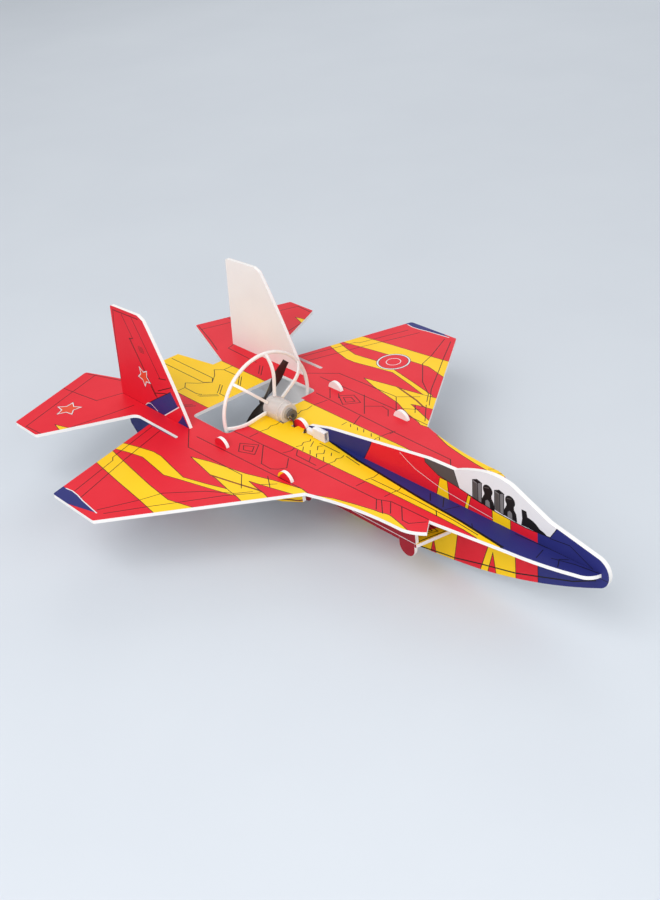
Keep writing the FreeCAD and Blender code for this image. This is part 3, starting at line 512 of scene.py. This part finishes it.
# A tailplane's yellow patch and its plain star.
tail_marks = (
    edged("yellow", (-105, 113.8), (-89, 108.6), (-80, 108), (-80, 120), (-89, 117.2))
    + star_mark((-118, 94.5), 10.4, 88)
)
# The panel lines of both halves of the sheet, as they stand to port.
panel_lines = (
    ((-45.6, 69), (-31, 112), (-27.4, 114.3), (-13.7, 153)), ((-36, 69), (-22, 108), (-3.3, 155)),
    ((79, 76.5), (72, 85), (55, 96), (34.6, 116.3), (30, 130.6), (18.3, 156)),
    ((84, 74), (68.4, 91.5), (49.5, 119.5), (41.7, 130.6), (25.4, 155.5)),
    ((-21, 54.5), (-1, 69.6), (57, 68), (70, 78.5)), ((-8, 57), (65, 54.6), (103, 53.2)),
    ((72, 58), (83.4, 65.4)), ((76, 68), (84, 60)),
    ((7, 35.4), (50, 33.6), (94.5, 31.8), (147, 30.5), (156.4, 26.4), (188, 25.5)),
    ((23, 43), (31, 50.5), (43, 46), (35, 36), (23, 43)),
    ((27.5, 43.4), (32, 47), (38.6, 44.6), (34.4, 39.6), (27.5, 43.4)),
    ((21.4, 6), (22.4, 10), (20.8, 14), (22.4, 18), (21.2, 23.6)), ((21.4, 26), (21.4, 33)),
    ((91, 8), (92, 11), (90.2, 14), (91.8, 17), (91, 21.4)), ((91, 22.4), (91, 31.8)),
    ((125.6, 9), (126.4, 13.6), (124.8, 19.2)), ((149, 11.3), (150, 14), (149, 19)),
    ((127, 16.2), (167, 15.4), (200, 16.2), (222, 18.2)),
    ((184.5, 15.5), (189, 19.4)), ((211, 11.8), (215.5, 15.6)),
    ((165.5, 26.4), (176.4, 36.4), (182, 36.4), (189, 28.2)),
    ((93, 7.6), (108, 9.6)), ((168, 4), (174, 10)), ((178, 2), (185, 10)), ((192, 3), (188, 11.4)),
    ((-149.5, 51), (-139.4, 78), (-119.5, 129.5)), ((-156, 53.4), (-126, 43.2), (-108, 36)),
    ((-139.4, 77.5), (-112.5, 73.5), (-106.5, 54), (-103.5, 43.6), (-66, 42)),
    ((-83.5, 59.5), (-86.4, 79), (-92, 108)), ((-151, 79), (-139.4, 77.5)),
    ((-119, 129), (-96, 127.4)),
    ((-59.3, 40.2), (-49.3, 31)), ((-56.6, 41), (-46, 30.6)),
    ((-125, 4.4), (-72, 4.4), (-66.4, 0)), ((-66.4, 0), (-74, 8), (-82, 13.6), (-76, 18.4)),
    ((-76, 26.4), (-76, 18.4), (-61, 18.6), (-57, 17)), ((-58, 19.4), (-47, 9.4)),
    ((-55.6, 19.6), (-45, 10)), ((-47, 7.6), (-40, 7.6)),
    ((238, 3), (264, 1.6), (294, 1.2)), ((263, 13), (261, 5)), ((270, 8), (284, 4), (299, 2)),
    ((278, 12), (274, 6), (278, 3)),
)
# The zigzag cells beside the dorsal, given as to port and printed to starboard only.
cell_lines = (
    ((57, 8), (58.6, 10), (56.4, 14), (58.6, 17.4), (57, 21)), ((57.4, 23), (58.6, 26.6), (56.4, 32)),
    ((61, 9), (64.6, 14.6)), ((61, 18), (64.6, 21.6)), ((70.2, 9), (68, 11), (71.6, 14.6)),
    ((68, 18), (72, 21.4)), ((75.5, 11.4), (78.6, 15), (75, 18.4), (78.4, 21.2)),
    ((82, 11), (84.6, 13.6)), ((82, 18), (85.6, 21.4)), ((66, 7.6), (86, 7.6)),
    ((66, 28.4), (86, 28.4)), ((75, 23.4), (79, 28.4)), ((61.4, 23.6), (65.6, 28)),
)
# To port the flame is printed 8 mm further forward and the tip's patch 4.5 mm further out.
PORT_FLAME_SHIFT = 8
PORT_TIP_SHIFT = 4.5
plate_marks = (centre_marks + both_sides(wing_marks + tail_marks) + strake_port
               + strake_starboard + wing_flame(PORT_FLAME_SHIFT) + mirrored(wing_flame(0))
               + wing_tip(PORT_TIP_SHIFT) + mirrored(wing_tip(0)))
# On the port wing's root, which is all that is ahead of the ring and over 28 mm out, the lines are
# printed 2 mm further forward and 3 mm further out.
ROOT_INNER = 28
DRIFT_FORWARD = 2
DRIFT_OUT = 3
for corners in panel_lines:
    drifted = [(x + DRIFT_FORWARD, y + DRIFT_OUT) if x > 0 and y > ROOT_INNER else (x, y)
               for x, y in corners]
    plate_marks += mirrored(thin_lines([corners])) + thin_lines([drifted])
plate_marks += mirrored(thin_lines(cell_lines))
# These stand on one side only: ticks and slanting lines to port, then a six-sided panel, ticks and
# slanting lines to starboard.
one_side_lines = (
    ((38.7, 58.4), (59.3, 39.6)), ((51.5, 47.3), (61.3, 55.1), (68.4, 53.9), (74.9, 47.7)),
    ((11.8, 49.1), (22.7, 39.6)), ((22.6, 48), (27.7, 43.6)), ((58.9, 18.8), (58.6, 23.1)),
    ((63, 23.2), (65.6, 20.9)), ((70.2, 23.1), (72.8, 20.8)), ((75.3, 24.3), (78.2, 21.6)),
    ((83.5, 23.7), (86.5, 21)), ((92.2, 23.2), (94.3, 21.2)), ((93.7, 31.7), (93.9, 36.2)),
    ((64.7, 24.6), (59.5, 35.2)), ((59.5, 70.2), (73.5, 56.8)), ((84.1, 75.8), (99.9, 58.9)),
    ((38, -34.5), (56, -50.5), (66, -50.8), (70, -48), (73.5, -43), (65, -34.5)),
    ((-58.6, 1.6), (-49.3, -8)), ((-56, 1.8), (-47, -7.6)),
    ((126, -21.4), (125.4, -28)), ((149, -20.6), (148.6, -25)),
    ((147.3, -30.8), (155.3, -38.5)), ((150.5, -29.5), (161.8, -39.2)),
    ((156, -26.8), (165.5, -36)),
)
plate_marks += thin_lines(one_side_lines)
CIRCLE_STEPS = 36


def circle(middle, radius):
    """Points round a circle, counter-clockwise."""
    return [around(middle, radius, math.tau * i / CIRCLE_STEPS) for i in range(CIRCLE_STEPS)]


# Port wing: a plain round hatch, drawn as a disc inside rings.
HATCH = (17, 108)
for ink, radius in (("black", 13), ("white", 12.6), ("black", 11.4), ("red", 11),
                    ("white", 5.8), ("red", 5.2)):
    plate_marks += area(ink, *circle(HATCH, radius))
printed_skin("main_plate_print", "main_plate", (0, 0, 1), "red", plate_marks)


# ---------------------------------------------------------------- keel print
# The keel stands upright in a slit of the main plate. The film on its starboard face has a blue
# dorsal and nose, a white canopy with two dark seat and helmet silhouettes, a grey fairing behind
# it, and red, yellow and blue blocks along the belly.
keel_marks = (
    edged("blue", (30, 40), (30, 12), (45, -3.6), (103.6, -3.6), (104, 0), (110, 10), (116, 22),
          (120, 40))
    + area("red", (28, -3.6), (28, 14), (45.5, 14), (45.5, -3.6))
    + edged("grey", (161, 40), (162.6, 19.8), (173.3, 14.6), (191.5, 12.3), (187.6, 23.2), (187, 40))
    + edged("yellow", (174.8, 13.4), (181.2, 13.4), (182.2, -0.4), (171.2, -0.4))
    + edged("yellow", (198.6, 10.4), (201.2, 10.2), (198, -0.4), (195.2, -0.4))
    + edged("yellow", (218.4, 8.4), (218.4, -0.4), (233, -0.4), (233, 7.6))
    + area("blue", (254, 9.5), (254, -3.6), (330, -3.6), (330, 9.5), (269, 16.7))
    + edged("white", (187, 40), (187.6, 23.2), (191.5, 12.3), (205, 10), (218.5, 7.9), (232, 7),
            (245, 6.6), (263.6, 8.1), (269.4, 17.3), (284, 40))
    + line("white", (139.6, 18.1), (146, 14.4), (153, 11), (164.6, 8.1), (176, 5.6), (195.4, 3.7),
           (218.5, 1.8), width=0.35)
)


def seat_and_helmet(x, z):
    """A high-backed seat and a plain helmeted figure, as flat silhouettes; no features."""
    return (
        edged("pale grey", (x, z), (x + 0.6, z + 13.4), (x + 4.4, z + 15), (x + 8, z + 13.8),
              (x + 7.4, z - 1), width=0.6)
        + area("black", (x + 0.6, z + 13.4), (x + 4.4, z + 15), (x + 8, z + 13.8), (x + 4.4, z + 12.4))
        + line("black", (x + 4.6, z + 12.6), (x + 4.4, z - 0.4), width=0.7)
        + area("grey", (x + 0.9, z + 12.4), (x + 4, z + 11.8), (x + 3.9, z), (x + 0.6, z + 0.4))
        + area("black", *circle((x + 12.8, z + 10.6), 3.9))
        + area("black", (x + 7.4, z - 1), (x + 7.8, z + 3), (x + 9.8, z + 6.8), (x + 10, z + 9),
               (x + 15.6, z + 8.4), (x + 15.8, z + 5.8), (x + 17.4, z + 3.4), (x + 18, z - 2.2))
        + area("pale grey", (x + 10.4, z - 1.4), (x + 10.6, z + 2.6), (x + 12.4, z + 4),
               (x + 14, z + 2.8), (x + 14.2, z - 1.8))
        + line("grey", (x + 10.4, z + 11.8), (x + 13.6, z + 12.6), width=0.6)
    )


keel_marks += seat_and_helmet(202.6, 9.8) + seat_and_helmet(220.4, 9.4)
keel_marks += (
    area("black", (241.4, 7.2), (242.4, 12), (242, 18.4), (245.8, 18.4), (246.4, 14.8), (250.6, 13.8),
         (253, 12.6), (256, 10.2), (259, 9.4), (262, 7.6))
    + line("black", (191.5, 12.3), (205, 10), (218.5, 7.9), (232, 7), (245, 6.6), (263.6, 8.1),
           width=0.6)
    + line("black", (263.6, 7.4), (278, 9), (294.4, 0.6))
    + edged("blue", (253.7, -3.4), (253.7, -60), (330, -60), (330, -3.4))
    + edged("yellow", (236, -3.4), (236, -60), (211, -60), (206.4, -41), (213.7, -21), (216.5, -3.4))
    + edged("red", (217.6, -23.6), (213, -38.6), (212, -50), (221, -50), (219.6, -38))
    + edged("yellow", (191, -3.4), (187.8, -23), (183.7, -44), (180, -60), (148, -60), (150, -3.4))
    + edged("red", (165.6, -36), (161, -52), (168, -52))
    + edged("yellow", (118, -3.4), (106, -60), (82, -60), (96, -3.4))
    + edged("blue", (62, -3.4), (46, -60), (0, -60), (0, -3.4))
)
# The long line above the keel's lower edge.
keel_marks += line("black", (60, -49.4), (113, -50.2), (147, -49.4), (171, -45), (184, -43),
                   (207, -37), (236, -30.2), (256, -23.3), (280, -15), (296.5, -6.4), width=0.9)
printed_skin("keel_print", "keel_plate", (0, -1, 0), "red", keel_marks)


# ---------------------------------------------------------------- fin and skirt print
# Each side plate is a fin and a skirt in one sheet, locked in the main plate by two half-round
# tabs. The film on its outer face has a red fin with a plain star and blue bands, a yellow band on
# the front tab, and a skirt that turns blue towards the tail.
fin_marks = (
    area("blue", (-78, -3.4), (-76, 0), (-70, 4.6), (-60, 10.8), (-38.7, 23.3), (-32, 13.3),
         (-53, -0.6), (-57, -3.4))
    + line("black", (-76, 0), (-70, 4.6), (-60, 10.8), (-38.7, 23.3))
    + line("white", (-31, 13.9), (-53, -0.6), (-57, -3.4), width=0.8)
    + line("white", (-76, 0.6), (-73, 3), (-69, 4.2), (-65, 2.6), (-61, 0.6), width=0.6)
    + area("blue", (-38, -3.4), (-36, -0.4), (-30.5, 5), (-27.6, 8.8), (-22, -0.4), (-22, -3.4))
    + line("dark line", (-81.6, 52.4), (-58.6, 13), width=1.4)
    + star_mark((-71.4, 25), 8.6, 50)
    + edged("blue", (-120, -0.2), (-46, -0.2), (-58, -40), (-120, -40))
    + edged("yellow", (16, -3.6), (38, -3.6), (24, -40), (2, -40))
    + area("yellow", (70, 10), (70, 0.2), (78.3, 0.2), (80.4, 2.8), (83.6, 5.2), (86, 6.2), (86, 10))
    + area("yellow", (74, -1), (64, -30), (104, -30), (104, -1))
    + line("dark line", (103, -7.4), (97, -10.6), (76, -17.6), width=0.9)
)
# Panel lines of the fin and the skirt.
fin_lines = (
    ((-98, 70.6), (-66, 72)), ((-98, 70), (-101.4, 52), (-105.6, 12)), ((-87, 70), (-77.6, 54)),
    ((-74, 70.6), (-49.6, 30.4)), ((-51.4, 30), (-42.6, 31.9)), ((-55.3, 18.9), (-36.4, 27.8)),
    ((-60, 15.6), (-44.6, 20.2)), ((-64.2, 20), (-60, 13.4)), ((-82.4, 52), (-77, 54)),
    ((100, -16), (76, -24), (56, -28), (-98, -28)), ((60, -4), (52, -20), (20, -24)),
)
fin_marks += thin_lines(fin_lines)
# A round vent of five level lines, 1 mm apart, that lean back with the fin.
VENT_LINES = 5
VENT_LOW = 45.4
VENT_BACK = -71.6
VENT_FRONT = -64.4
VENT_LEAN = 0.3
VENT_TRIM = 0.5
for i in range(VENT_LINES):
    z = VENT_LOW + i
    lean = i * VENT_LEAN
    trim = abs(i - VENT_LINES // 2) * VENT_TRIM
    fin_marks += line("dark line", (VENT_BACK - lean + trim, z), (VENT_FRONT - lean - trim, z),
                      width=0.45)
printed_skin("side_print_port", "side_plate_port", (0, 1, 0), "red", fin_marks)
printed_skin("side_print_starboard", "side_plate_starboard", (0, -1, 0), "red", fin_marks)


# ---------------------------------------------------------------- belly plate and intake walls
# The belly plate lies under the fuselage, and two intake walls stand on it with tabs in its edge.
# It is printed on top, where it shows through the intakes, and the walls on their outer faces.
# The walls' colour runs on over the belly plate's long edges, which are flush; that red is darker than
# the plate's, partly as its printed colour and partly as painted shade.
belly_marks = both_sides(
    area("yellow", (190, -1), (190, 34), (172, 34), (170, 18), (176, -1))
    + area("red", (160, 30.5), (160, 20), (170, 24), (174, 30.5))
    + line("black", (181.5, 0), (175.5, 26), width=0.8)
    + line("black", (168, 6.5), (177, 8), (172, 17), width=0.6)
    + line("black", (165, 8.5), (174, 10), (169.5, 17.5), width=0.6)
)
printed_skin("belly_print", "belly_plate", (0, 0, 1), "red", belly_marks)
wall_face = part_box("intake_wall_port")[1].y
# The belly plate's long edges and the intake walls get the darker red, which is partly painted shade.
printed_skin("belly_edge_port", "belly_plate", (0, 1, 0), "dark red", [], wall_face)
printed_skin("belly_edge_starboard", "belly_plate", (0, -1, 0), "dark red", [], wall_face)
# A white line along each wall's foot, where it meets the belly plate, is a painted highlight.
wall_foot_highlight = line("white", (118, -22.3), (177, -22.3))
printed_skin("intake_print_port", "intake_wall_port", (0, 1, 0), "dark red", wall_foot_highlight)
printed_skin("intake_print_starboard", "intake_wall_starboard", (0, -1, 0), "dark red", wall_foot_highlight)


# ---------------------------------------------------------------- propeller guard
# The guard is one injection moulding: a pod that holds the motor, seven curved spokes and a
# round-edged ring. The pod is let into the front edge of the main plate's slot and glued.

# The melt leaves flow marks every 8 mm.
FLOW_PER_METRE = 120.0


def moulded(name, code, shade_code, rough, grain_mm, glow=0.0):
    """A moulded plastic: faint flow marks, a fine mould texture, and some light let in (glow)."""
    material, tree, place = new_material(name)
    flow = add(tree, "ShaderNodeTexNoise", {}, {
        "Vector": place, "Scale": FLOW_PER_METRE, "Detail": 3.0, "Distortion": 1.2,
    })
    tint = add(tree, "ShaderNodeMix", {"data_type": "RGBA"}, {
        "Factor": flow.outputs["Fac"], COLOUR_A: linear(code), COLOUR_B: linear(shade_code),
    })
    grain = add(tree, "ShaderNodeTexNoise", {}, {"Vector": place, "Scale": 1 / (grain_mm * MM)})
    bump = add(tree, "ShaderNodeBump", {}, {
        "Height": grain.outputs["Fac"], "Strength": 0.2, "Distance": 0.08 * MM,
    })
    plastic = add(tree, "ShaderNodeBsdfPrincipled", {}, {
        "Base Color": tint.outputs[COLOUR_OUT], "Roughness": rough,
        "Normal": bump.outputs[0], "IOR": 1.5,
        "Subsurface Weight": glow, "Subsurface Radius": (1.0, 0.9, 0.85),
        "Subsurface Scale": 2.0 * MM,
    })
    add(tree, "ShaderNodeOutputMaterial", {}, {"Surface": plastic.outputs[0]})
    return material


# Unpigmented polypropylene, moulded: milky, with a waxy gloss, and it lets some light in. Over the
# motor can a greyer tone is painted shade for the can seen through it, up to 8.2 mm from the axis
# and gone by 9 mm.
CAN_SHADE_FULL = 8.2 * MM
CAN_SHADE_GONE = 9.0 * MM
guard_plastic = moulded("natural polypropylene, milky", "#F0EAE6", "#E6DFDA",
                        rough=0.3, grain_mm=0.7, glow=0.5)
tree = guard_plastic.node_tree
shell = next(n for n in tree.nodes if n.type == "BSDF_PRINCIPLED")
milky = shell.inputs["Base Color"].links[0].from_socket
place = add(tree, "ShaderNodeTexCoord", {}, {}).outputs["Object"]
# reach is the distance from the motor's axis, which runs along X.
offset = add(tree, "ShaderNodeVectorMath", {"operation": "SUBTRACT"}, {
    0: place, 1: (0.0, 0.0, axis_z),
})
across = add(tree, "ShaderNodeVectorMath", {"operation": "MULTIPLY"}, {
    0: offset.outputs[0], 1: (0.0, 1.0, 1.0),
})
reach = add(tree, "ShaderNodeVectorMath", {"operation": "LENGTH"}, {0: across.outputs[0]})
can_shade_mask = add(tree, "ShaderNodeMapRange", {}, {
    "Value": reach.outputs["Value"], "From Min": CAN_SHADE_FULL, "From Max": CAN_SHADE_GONE,
    "To Min": 1.0, "To Max": 0.0,
})
# The greyer tone mixed in over the can is painted shade.
milky_with_can_shade = add(tree, "ShaderNodeMix", {"data_type": "RGBA"}, {
    "Factor": can_shade_mask.outputs[0], COLOUR_A: milky, COLOUR_B: linear("#CBC1BB"),
})
tree.links.new(milky_with_can_shade.outputs[COLOUR_OUT], shell.inputs["Base Color"])
give_nodes(guard_plastic, "prop_guard")


# ---------------------------------------------------------------- motor and propeller
# The motor is a drawn steel can with a moulded end cap, pressed into the guard's pod. The propeller
# is one moulding with two blades, pushed onto the motor's shaft behind the cap.

# The streaks are about 17 mm long and a little rougher than what is between them; streak_mm is how
# far apart they lie.
STREAKS_PER_METRE = 60.0
STREAK_ROUGHER = 0.15


def bright_metal(name, code, rough, streak_mm):
    """Drawn or turned metal with fine streaks round it."""
    material, tree, place = new_material(name)
    stretch = add(tree, "ShaderNodeMapping", {}, {
        "Vector": place, "Scale": (1 / (streak_mm * MM), STREAKS_PER_METRE, STREAKS_PER_METRE),
    })
    streaks = add(tree, "ShaderNodeTexNoise", {}, {"Vector": stretch.outputs[0], "Scale": 1.0})
    polish = add(tree, "ShaderNodeMapRange", {}, {
        "Value": streaks.outputs["Fac"], "To Min": rough, "To Max": rough + STREAK_ROUGHER,
    })
    metal = add(tree, "ShaderNodeBsdfPrincipled", {}, {
        "Base Color": linear(code), "Metallic": 1.0, "Roughness": polish.outputs[0],
    })
    add(tree, "ShaderNodeOutputMaterial", {}, {"Surface": metal.outputs[0]})
    return material


# Nickel plate on drawn steel: bright and slightly warm, with fine streaks round it.
plated_steel = bright_metal("nickel-plated steel", "#C9C7C2", rough=0.25, streak_mm=0.4)
give_nodes(plated_steel, "motor_can", "motor_shaft")
# Acetal, moulded: dark grey-brown and dull.
cap_acetal = moulded("dark acetal end cap", "#6B635D", "#4E4742", rough=0.45, grain_mm=0.5)
give_nodes(cap_acetal, "motor_cap")
# Nylon, moulded in black: satin, with soft highlights along the blades.
black_nylon = moulded("black nylon, moulded", "#17120F", "#221B17", rough=0.32, grain_mm=0.6)
give_nodes(black_nylon, "propeller")


# ---------------------------------------------------------------- charging socket and leads
# The socket is an open-mouthed moulded housing on the plate, against the dorsal's starboard side,
# with two contact pins in its mouth and a soft boot behind it. Two leads from the boot and two
# from the motor go down through the plate and are soldered to the control board.

# Unfilled nylon, moulded: glossier and a little colder than the guard, and it lets more light in.
milky_nylon = moulded("unfilled nylon, translucent", "#ECE6E8", "#DDD6D9",
                      rough=0.28, grain_mm=0.6, glow=0.6)
give_nodes(milky_nylon, "charge_socket", "lead_boot")
# Brass, turned and tinned: a warm bright metal with fine turning marks.
brass = bright_metal("tinned brass", "#D6B56A", rough=0.25, streak_mm=0.3)
give_nodes(brass, "charge_pin_upper", "charge_pin_lower")
# PVC, extruded over the wire: smooth satin in its full colour.
red_pvc = moulded("red PVC insulation", "#B3141C", "#A01018", rough=0.4, grain_mm=0.5)
give_nodes(red_pvc, "motor_lead_red", "charge_lead_red")
black_pvc = moulded("black PVC insulation", "#191717", "#221F1F", rough=0.4, grain_mm=0.5)
give_nodes(black_pvc, "motor_lead_black", "charge_lead_black")


# ---------------------------------------------------------------- motor terminals
# Two brass tags lie flat on the motor's end cap with a lead soldered to each, and a small moulded
# boss covers the rear bearing. The tags and the boss are pressed into the cap.
cap_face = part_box("motor_cap")[1].x
# A tag's thickness, length and width in millimetres, and how far its middle is from its lead
# towards the axis and off the cap's face.
TAG_SIZE = (0.25, 2.2, 1.3)
TAG_INWARD = 0.55
TAG_PROUD = 0.1 * MM
SOLDER_RADIUS = 0.8 * MM
SOLDER_SPREAD = (0.55, 1.0, 0.9)
BOSS_RADIUS = 1.3 * MM
BOSS_TALL = 0.7 * MM
BOSS_EDGE = 0.15 * MM
# The solder's and the boss's middles stand this far off the cap's face.
SEAT = 0.2 * MM


def declare(name, material, smooth=False):
    """Bakes the active object's place into its mesh and hangs it on the airframe."""
    piece = bpy.context.object
    piece.name = name
    bpy.ops.object.transform_apply(location=True, rotation=True, scale=True)
    if smooth:
        bpy.ops.object.shade_smooth()
    give(piece, material)
    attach(piece, "airframe")


# Tin solder, flowed and set: a dull silvery bead.
solder = bright_metal("lead-free solder", "#B9B6AE", rough=0.35, streak_mm=0.5)
# Where each lead meets the cap, across and up from the axis in millimetres, and its tag's turn.
for name, across, rise, turn in (("black", -3.65, 0.0, 0.0), ("red", -2.65, -2.0, 37.0)):
    bpy.ops.object.select_all(action="DESELECT")
    tilt = math.radians(turn)
    inward = Vector((0, math.cos(tilt), math.sin(tilt))) * TAG_INWARD * MM
    joint = Vector((cap_face, across * MM, axis_z + rise * MM))
    bpy.ops.mesh.primitive_cube_add(size=MM, location=joint + inward + Vector((TAG_PROUD, 0, 0)),
                                    rotation=(tilt, 0, 0), scale=TAG_SIZE)
    declare("motor_tag_" + name, brass)
    bpy.ops.mesh.primitive_uv_sphere_add(segments=20, ring_count=12, radius=SOLDER_RADIUS,
                                         location=joint + Vector((SEAT, 0, 0)),
                                         scale=SOLDER_SPREAD)
    declare("solder_" + name, solder, smooth=True)
bpy.ops.mesh.primitive_cylinder_add(vertices=48, radius=BOSS_RADIUS, depth=BOSS_TALL,
                                    location=(cap_face + SEAT, 0, axis_z),
                                    rotation=(0, math.pi / 2, 0))
soften = bpy.context.object.modifiers.new("edge", "BEVEL")
soften.width = BOSS_EDGE
soften.segments = 3
bpy.ops.object.modifier_apply(modifier=soften.name)
# Acetal, moulded in black: dull, with a slight mould texture.
boss_acetal = moulded("black acetal boss", "#2B2725", "#383331", rough=0.4, grain_mm=0.4)
declare("cap_boss", boss_acetal)


# ---------------------------------------------------------------- battery pack
# The cell is a flat pouch, stuck under the main plate beside the keel by a pad of foam tape. The
# small control board stands at its rear end, and the four leads are soldered to it.

# Aluminium laminate, rolled and folded: satin foil with faint rolling streaks.
pouch_foil = bright_metal("aluminium laminate pouch", "#C4C6C9", rough=0.35, streak_mm=1.2)
give_nodes(pouch_foil, "battery_cell")
# Acrylic foam tape: matt white with an open, slightly rough face.
foam_tape = moulded("white acrylic foam tape", "#EDEBE6", "#E0DED8", rough=0.8, grain_mm=0.4)
give_nodes(foam_tape, "battery_tape")
# Solder mask on glass laminate: green, glossy and very slightly uneven.
solder_mask = moulded("green solder mask on laminate", "#1D6B3A", "#195F33",
                      rough=0.35, grain_mm=0.9)
give_nodes(solder_mask, "control_board")
